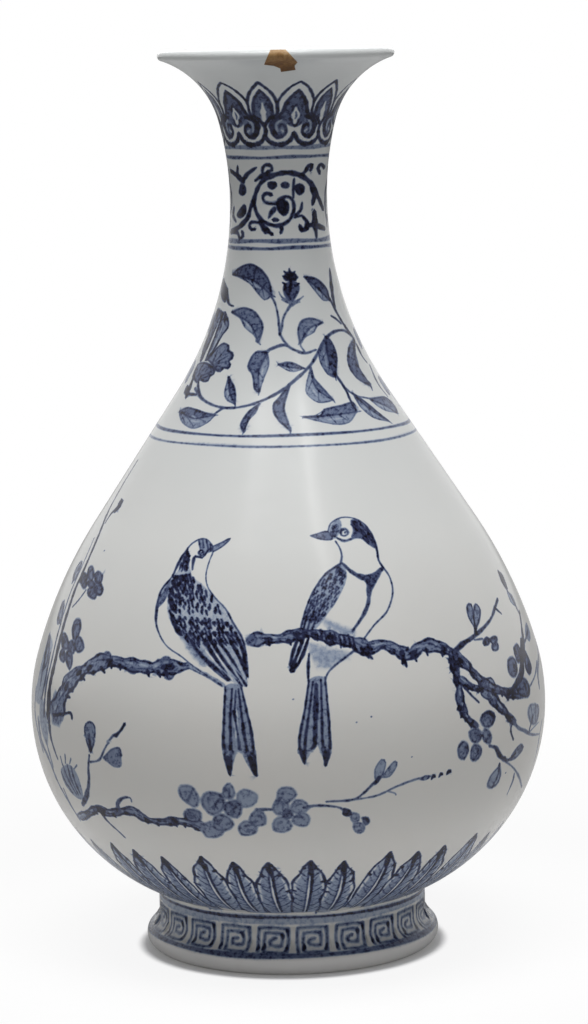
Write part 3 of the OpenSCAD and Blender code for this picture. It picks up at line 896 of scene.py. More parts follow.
def upper_branches(face):
    """The branch that the birds sit on, with its side twigs and blossoms."""
    branch(face, [(-80.5, 94), (-77, 102.5), (-72.5, 108.5), (-67, 112), (-63, 114.3), (-59.5, 115),
                  (-52.5, 114.5), (-46.5, 114.3), (-40.5, 115), (-36, 115.2), (-33.5, 115.8)],
           (4.2, 3.6, 3.2, 3.8, 3.2, 3.4, 4.2, 2.0))
    petal(face, -61.5, 116.2, 3.2, 3.0, 20)
    petal(face, -52.5, 112.8, 2.6, 2.2)
    petal(face, -41, 116.8, 3.6, 3.2, 30)
    petal(face, -40, 112.2, 3.0, 2.6)
    line(face, [(-81.5, 92.5), (-77.5, 94.2), (-75, 95.2), (-74.5, 93.4)], (1.4, 1.2, 0.9), 0.9)
    branch(face, [(-12, 124.5), (-8, 125), (-2.5, 125), (3.5, 126.3), (7.5, 126.5), (12, 125.5), (18, 124),
                  (23.5, 122.3), (27, 120.6), (32, 121.5), (36.5, 119.5), (41, 117.3), (45.5, 119.5),
                  (51.5, 118.5), (56.5, 115.6)], (3.4, 2.6, 2.8, 2.4, 3.2, 3.6, 3.2, 2.6, 3.6, 3.0, 2.6))
    petal(face, -11.6, 124.5, 3.0, 3.6)
    line(face, [(25, 120.5), (28.5, 117.2)], (2.4, 0.9), 0.85)
    line(face, [(38.5, 118), (40, 113.6)], (2.6, 0.9), 0.9)
    line(face, [(42, 117.5), (43.5, 115)], (2.0, 0.9), 0.88)
    for i in range(9):
        x = 9.6 + 1.55 * i
        top = 127.4 - 0.35 * i + 0.5 * math.sin(2.0 * i)
        line(face, [(x, top), (x + 0.5, top - 2.2), (x + 0.6, top - 3.4 - 0.9 * math.sin(3.0 * i))],
             (0.8, 1.0, 0.5), 0.84)
    line(face, [(56.5, 115.8), (59.5, 118), (64.5, 120), (70, 123.4), (72, 126.5), (73.5, 129.2)],
         (2.4, 2.0, 1.5, 1.0, 0.8), 0.76)
    line(face, [(72, 127), (74.6, 124.2)], (1.0, 0.7), 0.9)
    line(face, [(58, 117), (62, 119)], (1.6, 1.4), 0.9)
    outlined(face, [(64.5, 122), (62.2, 126.5), (62, 130), (63.4, 130), (64.1, 126.5)], 0.45)
    outlined(face, [(64.7, 122), (64.1, 126.5), (65, 129.8), (66.6, 127.6), (66.1, 124.5)], 0.42)
    line(face, [(64.5, 120.4), (64.6, 122.6)], (1.0, 1.4), 0.95)
    petal(face, 68.4, 117.2, 2.6, 2.6, 0, 0.6, 0.9)
    petal(face, 71.2, 117, 2.8, 2.6, 0, 0.45, 0.8)
    petal(face, 71.6, 114.8, 2.6, 2.8, 0, 0.42, 0.8)
    line(face, [(64, 118.6), (67, 118.4)], (0.6, 0.9), 0.7)
    branch(face, [(56, 115.5), (57, 110.5), (58, 104.5), (58.3, 100), (60.5, 94), (64, 90.5)],
           (2.4, 1.8, 2.0, 2.0, 1.4), 0.62)
    branch(face, [(57, 115), (61.5, 110.5), (65, 106.3), (69, 102.4), (74.5, 99.5), (81, 96.8)],
           (2.6, 2.0, 1.8, 2.6, 2.2, 2.6), 0.6)
    branch(face, [(58.5, 107), (63, 103.6), (67, 102.2)], (1.8, 1.8, 1.2), 0.62)
    line(face, [(59.5, 104.8), (62, 101.5), (65, 98.2)], (1.2, 0.9, 0.6), 0.85)
    outlined(face, [(65.5, 105), (69.5, 105.3), (71, 102), (69, 98.5), (66, 100.5)], 0.42)
    branch(face, [(69, 99.5), (72.5, 95), (75.5, 91.5), (78, 88)], (2.4, 2.0, 1.8, 1.3), 0.6)
    line(face, [(77.5, 88.5), (79.5, 85.5), (82, 83.5), (84.5, 81), (88.5, 78.5)],
         (1.6, 1.2, 1.4, 1.0, 0.6), 0.52)
    line(face, [(83.5, 82), (86, 83), (88, 83.5)], (0.9, 0.7, 0.5), 0.46)
    line(face, [(77, 88.5), (76.5, 85.5), (77.5, 82)], (0.9, 0.8, 0.6), 0.8)
    line(face, [(77, 99), (80.5, 103.5), (82.5, 110), (82.5, 115.5), (82, 122)], (1.6, 1.6, 1.2, 0.8, 0.6),
         0.86)
    for points in ([(76, 109.5), (78, 110), (79.5, 107.5), (79.5, 104), (78, 103), (76, 105.5)],
                   [(78.5, 112.5), (80, 113.5), (81, 111.5), (81.5, 108), (80, 107), (79, 109.5)],
                   [(83, 110), (84.5, 107), (85.5, 103.5), (84.5, 101.5), (83, 104), (82.6, 107)],
                   [(78.5, 100), (80.5, 102.5), (83, 101), (84.5, 97), (83.5, 94.5), (80, 96.5)]):
        soft_petal(face, points, 0.58, 0.86)
    line(face, [(82, 113.5), (81.5, 108.5), (81.5, 103.5), (79.5, 100.5), (76.5, 99)],
         (0.9, 1.4, 1.6, 1.6, 1.2), 0.94)
    line(face, [(89, 108.5), (89, 104.5), (88, 100.5), (88.5, 95)], (0.6, 0.8, 1.0, 0.6), 0.5)
    line(face, [(88, 104), (86.8, 100.5), (84.5, 98)], (0.5, 0.7, 0.9), 0.5)
    soft_petal(face, [(83, 89.5), (84, 92), (86, 91.5), (88, 89.5), (88, 86), (87, 83.5), (84.5, 84.5)],
               0.28, 0.52)
    for top, foot in (((84.6, 91), (85.4, 85)), ((86.4, 91), (86.6, 84.6))):
        line(face, [top, foot], (0.5, 0.8), 0.5)
    line(face, [(89.5, 83), (88.5, 78.5), (87.5, 72.5), (86.5, 68.5)], (0.5, 0.9, 0.5), 0.42)
    outlined(face, [(74.6, 137), (76.3, 135), (77.6, 130.5), (75.6, 133.5)], 0.7, 0.9)
    line(face, [(75, 136), (76.4, 132.6)], (1.2, 1.6), 0.95)
    shape(face, [(84.5, 117.5), (86, 113.5), (85.4, 111.4), (83.5, 114.5)], 0.4)
    outlined(face, [(77.5, 130), (79.3, 128), (80.5, 124.5), (78.6, 126.5)], 0.35, 0.5)
    for points in ([(77.4, 130.6), (79.6, 126.4), (82, 121)], [(82.5, 111.5), (83.6, 113), (85, 115)],
                   [(83.6, 82), (84.2, 84), (85.4, 87)]):
        line(face, points, (0.7, 0.9, 0.8), 0.74)
    for points in ([(65, 92.5), (67, 94), (69.5, 93.5), (70.5, 91), (69, 89), (66.5, 89.5)],
                   [(61, 89), (63, 90), (65, 89), (66, 86.5), (64.5, 84.5), (62, 85.5)],
                   [(66.5, 89), (68.5, 88), (69.5, 85), (68.5, 83), (66.5, 84.5), (66, 87)],
                   [(57, 84), (58.5, 86.5), (60.5, 85.5), (61, 82.5), (59.5, 79.5), (57.5, 80.5)],
                   [(62, 83.5), (63.5, 84.5), (65.5, 83), (65.5, 80), (63.5, 78), (61.5, 79.5)]):
        soft_petal(face, points, 0.46, 0.7)
    line(face, [(66, 93.8), (68.5, 94.4), (70.4, 92), (69.6, 89.8)], (0.8, 1.4, 1.6, 0.8), 0.84)
    line(face, [(68.5, 82.5), (71, 81), (72, 78.5), (74.5, 75.5), (77.5, 75)], (1.4, 1.6, 1.8, 1.8, 1.2),
         0.68)
    line(face, [(70.6, 81.4), (72.2, 78), (74.2, 76.2)], (0.8, 1.3, 1.6), 0.86)
    soft_petal(face, [(72.5, 74.5), (73, 71), (72, 67.5), (69.5, 66), (67.5, 67.5), (68.5, 71),
                      (71, 73.5)], 0.32, 0.62)
    line(face, [(72.2, 74.8), (71.8, 71), (69.8, 67)], (1.0, 0.8, 0.5), 0.72)
    soft_petal(face, [(76.5, 76), (78, 78), (80.5, 79.5), (81.5, 77.5), (80.5, 76), (78, 74.5)], 0.42, 0.66)
    line(face, [(76.5, 75.4), (78.4, 76.6)], (1.4, 1.0), 0.8)
    line(face, [(74.5, 75), (77.5, 71.5), (80, 66.5), (81.5, 61)], (0.7, 0.6, 0.7, 0.5), 0.55)
    line(face, [(78, 69), (77.5, 66), (75.5, 61.5)], (0.5, 1.2, 0.5), 0.52)
    for x, z in ((1.5, 105.5), (22.5, 97), (41, 83.5), (74.5, 70.5), (27.5, 98.5), (-63, 149)):
        line(face, [(x, z), (x + 0.3, z + 0.1)], 0.4, 0.66)
    twig = [(-51.5, 177.5), (-57, 169), (-62, 160.5), (-65.5, 152.5), (-70, 142.5), (-73.5, 135),
            (-76, 128), (-78.5, 120), (-81, 110), (-83, 101.5), (-84, 91.5)]
    line(face, twig, (0.8, 0.9, 1.1, 1.2, 1.5, 1.5), 0.88)
    line(face, [(x - 1.6, z - 1.0) for x, z in twig[3:]], (0.4, 0.6, 0.8), 0.66)
    line(face, [(-57, 164.2), (-59, 162), (-61, 160), (-63, 157)], (2.2, 1.8, 0.9, 0.6), 0.88)
    for x, z, wide, tall, tone in ((-70.4, 138.2, 2.2, 4.0, 0.7), (-67.8, 141, 2.0, 3.8, 0.5),
                                   (-64.8, 140.4, 2.4, 3.4, 0.5), (-64.8, 137, 2.8, 3.6, 0.5),
                                   (-67, 135.2, 3.0, 3.0, 0.5), (-67.6, 138, 2.0, 2.0, 0.6)):
        petal(face, x, z, wide * 1.3, tall * 1.3, 0, tone, 0.82)
    line(face, [(-69.5, 135.5), (-72, 132), (-74.5, 129)], (0.7, 0.6, 0.6), 0.76)
    for x, z, wide, tall, lean in ((-72.8, 122.6, 2.4, 6.4, -12), (-77.2, 117.6, 2.2, 4.4, 10),
                                   (-71.8, 118, 3.0, 4.4, 0), (-75.4, 112.6, 2.0, 5.4, 0),
                                   (-78, 113, 1.8, 3.6, 0), (-74.6, 116.6, 2.2, 3.6, 0)):
        petal(face, x, z, wide * 1.3, tall * 1.25, lean, 0.5, 0.8)
    shape(face, [(-83.5, 117), (-86, 110), (-88, 102), (-89.4, 94.5), (-87, 94), (-85, 101), (-83.5, 109),
                 (-82, 115)], 0.26, 1.0)
    for points in ([(-84, 116.5), (-84.5, 112), (-86, 106), (-87, 100)],
                   [(-83, 112), (-84.6, 104), (-86.4, 96)], [(-71.5, 142.5), (-74, 139), (-75, 136)],
                   [(-78, 129.5), (-80, 124.5), (-79, 122)]):
        line(face, points, (0.6, 1.0, 0.6), 0.62)
    line(face, [(-57.4, 164.6), (-58, 162.8), (-59.4, 161)], (1.4, 2.2, 1.0), 0.92)
    for x, z, tall, lean in ((-79.2, 125.5, 8.5, -14), (-84.4, 111.5, 13, -10), (-73.2, 140, 8.0, -24)):
        petal(face, x, z, 1.5, tall, lean, 0.35, 0.7)


def lower_branches(face):
    """The lower spray: a bare branch, clusters of round blossom and a long bud twig."""
    branch(face, [(-73.5, 56), (-69.5, 59.5), (-66, 62.6), (-62.5, 61.5), (-57.5, 63.3), (-53.5, 64),
                  (-49.5, 61.8), (-44.5, 61.2), (-38.5, 62.3), (-33.5, 61.6), (-30.5, 61)],
           (2.0, 2.4, 1.8, 2.6, 2.6, 2.0, 1.8, 2.2, 2.6, 2.8), 0.52)
    line(face, [(-65.5, 61.5), (-63, 58), (-59.5, 55), (-57, 52.6)], (1.4, 1.0, 0.9, 0.7), 0.76)
    line(face, [(-58.5, 62.8), (-59, 66), (-57, 68.5), (-54.5, 69), (-54, 67.6)],
         (2.2, 1.8, 1.2, 0.8, 0.6), 0.62)
    for points, widths, tone in (([(-83, 98.5), (-83.5, 91), (-83, 84.5), (-81.5, 79.5), (-80.5, 77)],
                                  (1.1, 1.4, 1.0, 0.6), 0.66),
                                 ([(-88, 88), (-87, 81), (-84, 75), (-81, 67.5), (-77, 60.5),
                                   (-73.5, 54.5)], (1.0, 1.6, 1.3, 1.0, 1.3, 1.0), 0.46),
                                 ([(-89, 98), (-89.5, 90), (-88.5, 84), (-86.5, 77)], (0.8, 1.0, 0.8),
                                  0.42), ([(-85, 82), (-83.5, 76.5), (-82.6, 73)], (0.6, 1.0, 0.5), 0.46),
                                 ([(-79, 66), (-77, 61), (-74.5, 56)], (0.5, 0.7, 0.4), 0.55)):
        line(face, points, widths, tone)
    shape(face, [(-86.5, 97), (-87.5, 90), (-86.5, 84), (-84.5, 80), (-84, 86), (-84.6, 92)], 0.3, 1.0)
    shape(face, [(-79.5, 73.5), (-76.5, 76.5), (-74, 75), (-72.5, 71.5), (-71.5, 66.5), (-72.5, 64),
                 (-75.5, 65), (-78.5, 68.5)], 0.34)
    for start, end in (((-78.6, 75.5), (-74, 65.5)), ((-77, 76.4), (-73.4, 65.8)),
                       ((-75.4, 76), (-72.6, 66.6)), ((-79.4, 72.5), (-75.4, 65.6))):
        line(face, [start, ((start[0] + end[0]) / 2 - 0.5, (start[1] + end[1]) / 2), end], (0.5, 0.9, 0.6),
             0.64)
    for start, end in (((-78.8, 75.6), (-79.4, 78.4)), ((-77.6, 76.6), (-77.6, 79.8)),
                       ((-76, 76.8), (-75.4, 79)), ((-74.4, 75.4), (-73.2, 77.2))):
        line(face, [start, end], (0.4, 0.6), 0.6)
    line(face, [(-72, 62), (-70, 67), (-69, 72.5), (-69, 77.5), (-68.5, 82)], (1.6, 1.8, 1.2, 0.9, 0.8), 0.66)
    outlined(face, [(-68, 83), (-69.4, 87), (-69.9, 91.5), (-68, 93.8), (-66.2, 92.3), (-66.6, 87)], 0.42,
             0.72)
    line(face, [(-68, 84), (-68.2, 88)], (1.6, 0.8), 0.9)
    line(face, [(-68.5, 79.5), (-65, 81), (-63, 85), (-60.5, 89.5), (-58.5, 91.3)],
         (0.9, 0.9, 0.7, 0.9, 0.9), 0.6)
    line(face, [(-58.8, 90.4), (-57, 92.6), (-55.5, 95)], (1.2, 1.0, 1.3), 0.95)
    shape(face, [(-63.4, 82), (-60.5, 85.3), (-57.6, 86.4), (-57.1, 84), (-57.1, 80.2), (-59.5, 79.3),
                 (-62, 80.7)], 0.46)
    line(face, [(-63.4, 82), (-60.5, 85.4), (-57.7, 86.4), (-57, 84)], (0.7, 0.6, 0.9), 0.64)
    for x, z, wide, tall, lean, tone in ((-34, 72.2, 5.4, 8.4, 35, 0.46), (-33, 64.6, 5.6, 5.4, 0, 0.6),
                                         (-25.9, 70, 7.6, 8.0, 0, 0.5), (-20.6, 74.2, 3.8, 5.6, 0, 0.42),
                                         (-14.5, 72, 6.6, 6.4, 0, 0.38), (-19.2, 68, 5.6, 6.2, 0, 0.6),
                                         (-23, 62.6, 6.6, 6.2, 0, 0.54), (-26.4, 59.8, 6.8, 6.0, 0, 0.48),
                                         (-14.6, 60.8, 6.0, 5.4, 0, 0.46), (-11, 64.6, 5.4, 5.8, 0, 0.48),
                                         (-1.4, 73.2, 6.4, 5.4, 25, 0.46), (-3.2, 69, 5.2, 6.4, 0, 0.42),
                                         (3, 68.8, 5.8, 5.0, 0, 0.42), (-3, 62.2, 6.2, 5.8, 0, 0.42),
                                         (3.6, 64, 5.6, 5.0, 0, 0.46), (-1, 66.2, 3.2, 3.6, 0, 0.6)):
        petal(face, x, z, wide * 1.14, tall * 1.12, lean, tone * 0.8, min(tone + 0.06, 0.6))
    line(face, [(-11.5, 68), (-6, 68)], (1.4, 1.2), 0.5)
    for start, end in (((-26, 68), (-24, 71.5)), ((-20.5, 72.4), (-20.4, 75.2)),
                       ((-34.6, 70.2), (-33, 73.6)), ((-19.6, 66), (-18.4, 69.4))):
        line(face, [start, end], (1.4, 0.8), 0.62, 0.6)
    line(face, [(4.5, 68.5), (9, 69), (15.5, 68.2), (18, 66.7)], (1.6, 1.2, 1.0, 0.9), 0.6)
    line(face, [(12, 70.3), (20.5, 70.4), (24, 72), (29, 76.6)], (0.9, 1.1, 1.0, 1.2), 0.62)
    line(face, [(20.5, 70.3), (29, 71.2), (35.5, 73.6), (42, 75.4), (47, 75.6)], (0.8, 0.9, 0.9, 1.1, 1.3),
         0.5)
    line(face, [(33, 72.3), (35.2, 71.4), (35.6, 70.6)], (0.7, 0.6, 0.4), 0.45)
    outlined(face, [(44, 75.2), (45.6, 76.2), (47.4, 75.8), (45.8, 74.8)], 0.2, 0.6, 0.5)
    for x, z, wide in ((48.6, 75.3, 1.6), (51.2, 75.7, 1.3), (54, 76.2, 2.0)):
        line(face, [(x - 0.8, z - 0.7), (x, z + 0.4), (x + 0.5, z + 0.1)], (0.6, wide, wide * 0.7), 0.84)
    outlined(face, [(28.6, 77.5), (28.6, 80.5), (30.8, 83.8), (32.2, 82.5), (30.8, 78)], 0.3, 0.55)
    outlined(face, [(31, 77.6), (33, 80.5), (35.4, 82.8), (35.9, 81), (33.4, 77.6)], 0.34, 0.55)
    line(face, [(28.6, 75.6), (30, 77.6)], (1.4, 2.2), 0.85)
    soft_petal(face, [(18, 67.5), (20, 66.6), (20.5, 65), (19, 64.5), (17.5, 65.5)], 0.8, 0.95)
    soft_petal(face, [(21, 65.8), (23, 65), (23, 62.5), (21, 62), (20, 64)], 0.34, 0.55)
    soft_petal(face, [(21, 61.8), (23.5, 61.8), (25, 60), (24.5, 58), (22.5, 57.5), (21, 59.5)], 0.34, 0.55)
    soft_petal(face, [(24, 63.6), (26, 63.6), (26.5, 61.5), (25, 60.5)], 0.5, 0.7)
    line(face, [(25.4, 63), (26.2, 61.6)], (1.2, 0.8), 0.88)


for face in (Front(0.0), Front(math.pi)):
    upper_branches(face)
    left_bird(face)
    right_bird(face)
    lower_branches(face)
ring(188.8, 1.0, 0.58)
ring(185.3, 0.8, 0.48)

foot_slip = thrown("foot_slip_glazed", foot_top_z, foot_joint_z, np.concatenate((
    arc((FOOT_BORE_R, foot_joint_z), BEAD_R, 180, 270), [(FOOT_BORE_R, foot_top_z)])), 1.0)
settle(foot_slip, glaze, "slip", "foot_slip")
in_r = LOW_BELLY_R - WALL
joint_low, joint_high = BELLY_Z - SLIP / 2, BELLY_Z + SLIP / 2
wall_joint = math.degrees(math.asin(SLIP / 2 / in_r))
floor_start = -math.degrees(math.asin((BELLY_Z - floor_top_z) / in_r))
bead_lean = math.degrees(math.asin(BEAD_R / (2 * in_r)))
lower_body = thrown("lower_body_glazed", foot_joint_z, joint_low, np.concatenate((
    arc(low_belly, in_r, -wall_joint, floor_start, 6.0), [(0, floor_top_z), (0, foot_joint_z)])))
settle(lower_body, glaze, "porcelain", "lower_body")
belly_slip = thrown("belly_slip_glazed", joint_low, joint_high,
                    np.concatenate(([away(low_belly, in_r, wall_joint)],
                                    arc((BELLY_R - WALL, BELLY_Z), BEAD_R, 90 + bead_lean,
                                        270 - bead_lean), [away(low_belly, in_r, -wall_joint)])))
settle(belly_slip, glaze, "slip", "belly_slip")


def run_point(depth, z):
    """Point of the straight shoulder at a height, at a depth in from the outside."""
    start = away(high_belly, HIGH_BELLY_R, run_angle)
    lean = math.radians(run_angle)
    return start[0] - (z - start[1]) * math.tan(lean) - depth / math.cos(lean), z


neck_low, neck_high = neck_joint_z - SLIP / 2, neck_joint_z + SLIP / 2
upper_body = thrown("upper_body_glazed", joint_high, neck_low, np.concatenate((
    [run_point(WALL, neck_low)], arc(high_belly, HIGH_BELLY_R - WALL, run_angle, LOW_BELLY_END, 3.0),
    arc(low_belly, in_r, LOW_BELLY_END, wall_joint, 3.0)[1:])))
settle(upper_body, glaze, "porcelain", "upper_body")

# Neck and mouth
# The neck and the trumpet mouth, each thrown by itself and luted with slip.
# They carry a flower scroll, a tendril scroll and a row of cloud-headed lappets under the lip.
FLOWER_SCROLL_LEAVES = (([(-36, 195.5), (-33, 197), (-27.5, 196), (-23.5, 195.5), (-26, 193),
                          (-30.5, 190.8), (-33.5, 191.3), (-35.5, 193)], 0.5),
                        ([(-16.5, 243), (-13.5, 245.5), (-10, 246.5), (-6.5, 244.5), (-4, 241), (-3, 236),
                          (-5.5, 234.5), (-8, 237), (-10.5, 240), (-14, 242)], 0.55),
                        ([(-17, 230), (-13, 231.5), (-9, 230), (-6.5, 226), (-7, 222.5), (-8, 220),
                          (-9.5, 222.5), (-12.5, 225), (-14.5, 228.5)], 0.46),
                        ([(-5, 216.5), (-9, 216.5), (-11.5, 212), (-10, 209), (-9.5, 204.5), (-8, 203.5),
                          (-6.5, 207.5), (-4.5, 212.5)], 0.46),
                        ([(14.5, 226), (11, 227.5), (7.5, 227), (6, 224), (6.5, 219.5), (8.5, 221.5),
                          (11.5, 223), (12.5, 225)], 0.4),
                        ([(8.5, 242), (12.5, 241), (16, 237.5), (17, 233.5), (15, 233.5), (12.5, 236.5)],
                         0.55),
                        ([(15.5, 221), (17.5, 219), (19, 214), (18.5, 207.5), (16, 208.5), (13.5, 212.5),
                          (13, 217)], 0.68),
                        ([(-1, 212.5), (3, 213), (7.5, 211), (4, 210), (1, 211)], 0.45),
                        ([(7, 195), (13, 195), (14.5, 197), (21, 198), (24.5, 198.5), (25.5, 195.5),
                          (23, 192.5), (19, 192), (14, 193)], 0.46),
                        ([(30.5, 199), (36, 198.5), (39.5, 195), (40, 193), (36, 194.5), (33, 196.5)],
                         0.46),
                        ([(24.5, 201.5), (28.5, 198.5), (33, 194.5), (37, 191), (31.5, 193), (27, 197)],
                         0.55),
                        ([(10, 211), (11, 207.5), (14, 204), (17.5, 200), (12.5, 199.5), (8.5, 202.5),
                          (8.5, 206)], 0.44),
                        ([(2.5, 205.5), (-0.5, 202), (-3, 199), (-2, 195), (2.5, 190.8), (1.5, 194.5),
                          (0.5, 198), (1.5, 202)], 0.46),
                        ([(-8, 199.5), (-12, 196.5), (-14.5, 192.5), (-13.5, 190.4), (-12, 194),
                          (-9.5, 196.5)], 0.5),
                        ([(-18.5, 208), (-16.5, 204), (-16.5, 199.5), (-19, 200.5), (-20, 203)], 0.55),
                        ([(25.5, 219), (23.5, 216), (23.5, 211), (26, 206.5), (31, 203), (27.5, 208),
                          (26.5, 212), (25.5, 215.5)], 0.5))


def broad_leaf(where, points, tone):
    """A leaf with a pale wash, one darker half, a pale streak in the other, a midrib and side veins."""
    points = np.asarray(points, float)
    root = points[0]
    far = int(np.argmax(np.linalg.norm(points - root, axis=1)))
    way = points[far] - root
    middle = points.mean(0)
    rib = curve_through([root, middle, points[far]])
    shape(where, points, tone * 0.7)
    shape(where, [*points[:far + 1], middle], tone * 1.06, 1.5)
    pale = (middle + points[far + 1:].mean(0)) / 2 if far + 1 < len(points) else middle
    line(where, [pale - way * 0.16, pale, pale + way * 0.16], (0.3, 0.8, 0.3), -0.5, 0.8)
    for edge in np.delete(points, (0, far), axis=0):
        share = np.clip((edge - root) @ way / (way @ way) - 0.18, 0.05, 0.9)
        start = rib[int(share * (len(rib) - 1))]
        line(where, [start, start * 0.2 + edge * 0.8], (0.4, 0.25), min(tone + 0.14, 0.74))
    line(where, rib, (0.9, 0.7, 0.4), min(tone + 0.26, 0.86))
    line(where, points[:far + 1], (0.7, 1.0, 0.6), min(tone + 0.24, 0.84))
    line(where, [*points[far:], root], (0.5, 0.4, 0.5), min(tone + 0.1, 0.7))
    line(where, [points[far] - way * 0.06, points[far] + way * 0.09], (1.1, 0.35), min(tone + 0.1, 0.7))


PEONY_PETALS = (([(-22.4, 229.4), (-20.9, 229.8), (-21.2, 226), (-22.6, 224.6), (-24.4, 220.8),
                  (-26.6, 216), (-28.4, 212.3), (-27.2, 217), (-25, 222.8), (-23.4, 227.2)], 0.56),
                ([(-19.6, 229.6), (-18.4, 226.6), (-18.7, 224.4), (-20.5, 222.1), (-21.9, 219.7),
                  (-23.7, 216.7), (-25.8, 213.6), (-26.6, 213), (-25, 217), (-23.2, 221.2), (-21.6, 225.6),
                  (-20.8, 228)], 0.4),
                ([(-25.8, 213.3), (-23.7, 216), (-21.9, 218), (-20.1, 219.2), (-18.4, 218.4),
                  (-18.6, 216.9), (-17.2, 216), (-17.2, 214.3), (-18.5, 213.4), (-17.9, 212.3),
                  (-18.7, 210.9), (-20.1, 211.2), (-21.4, 209.8), (-23, 210.3), (-23.8, 211.6)], 0.46),
                ([(-31.1, 207.2), (-29.7, 210.8), (-27.5, 212), (-25.1, 211.6), (-23.6, 210.4),
                  (-23.8, 208.8), (-25.1, 208), (-25.8, 206.5), (-27.4, 206.1), (-28.6, 206.9),
                  (-29.8, 205.4)], 0.54))


def peony(face):
    """A drooping flower at the side of the scroll: two long petals over two lobed ones."""
    for points, tone in PEONY_PETALS:
        shape(face, points, tone)
        line(face, [*points, points[0]], (0.9, 0.6, 1.0, 0.7, 0.9, 0.6), 0.86)
        heart = np.mean(points[:1] + points[-2:], axis=0)
        for lobe in points[2:-2:2]:
            lobe = np.asarray(lobe)
            line(face, [heart * 0.8 + lobe * 0.2, heart * 0.2 + lobe * 0.8], (0.6, 0.3),
                 min(tone + 0.28, 0.9))
    for points in ([(-21.2, 227.6), (-23.4, 222), (-26, 215.4)],
                   [(-19.8, 226.4), (-21.8, 221.6), (-24.6, 215.8)]):
        line(face, points, (0.3, 0.6, 0.3), -0.6)
    for x, z in ((-22.2, 228), (-20.6, 227.6), (-19.4, 227)):
        line(face, [(x, z + 1.2), (x - 0.3, z - 0.6)], (1.3, 0.7), 0.96)
    line(face, [(-20.2, 239.5), (-18.8, 235.5), (-18, 232.6), (-16.4, 232)], (1.6, 1.9, 1.0, 0.6), 0.9)
    line(face, [(-20.6, 237), (-20, 234.6), (-19.4, 233.4)], (1.2, 1.6, 0.8), 0.84)
    line(face, [(-31.4, 206), (-32.6, 203), (-33.6, 200.4)], (1.0, 1.6, 1.4), 0.92)
    line(face, [(-29, 206.6), (-29.4, 204.4), (-28.6, 201.4)], (0.6, 0.7, 0.8), 0.84)


def flower_scroll(face):
    """A climbing stem with broad leaves, a bud and a peony at the side."""
    for points, tone in FLOWER_SCROLL_LEAVES:
        broad_leaf(face, points, tone)
    line(face, [(-31.6, 194.6), (-30.2, 194.2)], (0.5, 0.9), -0.6)
    line(face, [(-30.5, 203.5), (-28, 200.5), (-23.5, 198.5), (-18, 198), (-12, 199), (-6, 201), (0, 204),
                (5.5, 208), (10, 212), (13, 216.5), (15.5, 220.5), (18.5, 222.5), (22, 222.5), (25, 220)],
         (1.0, 1.2, 1.1, 1.3, 1.4, 1.2, 1.3, 1.1), 0.66)
    line(face, [(-30, 201.5), (-33.5, 201.5), (-33.5, 203.5)], (1.0, 1.8, 1.0), 0.85)
    line(face, [(-20, 198), (-22, 197), (-24, 195.5)], 0.9, 0.66)
    line(face, [(12, 217), (8, 216), (4, 217.5), (1, 219), (-3, 218), (-6, 216.5)],
         (0.9, 1.3, 1.2, 1.4, 1.1), 0.6)
    line(face, [(2, 219), (0.5, 221), (-0.5, 223)], (1.4, 1.0, 1.0), 0.62)
    line(face, [(-0.5, 222.5), (-1, 229), (-2, 233.5), (-3.5, 236)], (1.1, 0.8, 0.9), 0.7)
    line(face, [(0, 223.5), (1, 228.5), (3.8, 233)], (0.9, 1.0, 1.2), 0.6)
    line(face, [(8, 216.5), (6.7, 218.5), (6.5, 220.5)], 0.8, 0.5)
    line(face, [(25, 220), (22, 224.5), (19, 230), (16.5, 235.5)], (1.0, 1.1, 0.9, 0.8), 0.84)
    line(face, [(21, 225), (19, 227), (17.5, 228)], (1.0, 0.9, 0.7), 0.8)
    line(face, [(19, 230.5), (18.2, 235.5), (17.5, 244)], (0.7, 1.5, 0.6), 0.82)
    line(face, [(18.5, 208.5), (22, 203), (23.5, 199.5), (25.5, 196)], (1.2, 1.1, 0.9), 0.76)
    line(face, [(21, 204.5), (25, 201), (31, 199)], (0.9, 0.8, 0.9), 0.6)
    line(face, [(26.5, 217), (28, 213.5), (30, 210.5)], (0.9, 1.0, 0.5), 0.84)
    line(face, [(31, 209.5), (33.5, 203.5), (37, 198.5)], (0.6, 0.7, 0.5), 0.72)
    shape(face, [(1, 239), (4, 241), (6.5, 239.5), (6.5, 237), (4, 233.5), (1.5, 235.5)], 0.62)
    line(face, [(1.6, 239), (2.2, 237), (3.6, 234.5)], (1.0, 1.4, 0.8), 0.9)
    shape(face, [(1, 242.5), (4, 244), (6, 242.5), (5.4, 240.6), (4, 241), (2, 240.8)], 0.9)
    line(face, [(3.4, 243.6), (3.8, 239.5), (3.2, 237.5)], (1.6, 1.0, 1.4), 0.98)
    for points in ([(-0.5, 237.2), (0.6, 235.2), (3.6, 233.2)], [(8, 235.4), (6.4, 234.2), (4.2, 233.2)],
                   [(0.4, 234.4), (2.2, 233.6), (4, 232.8)], [(6.8, 233.4), (5.2, 233.2), (4, 232.4)]):
        line(face, points, (0.4, 1.0, 1.5), 0.5)
    for x, z in ((0.9, 242.6), (1.4, 244.2), (3.2, 245), (5.2, 244), (6.2, 242), (0.8, 240.4), (6.6, 239.8)):
        line(face, [(x, z), (x + (3.6 - x) * 0.4, z - 0.8)], (0.6, 1.1), 0.95)
    peony(face)


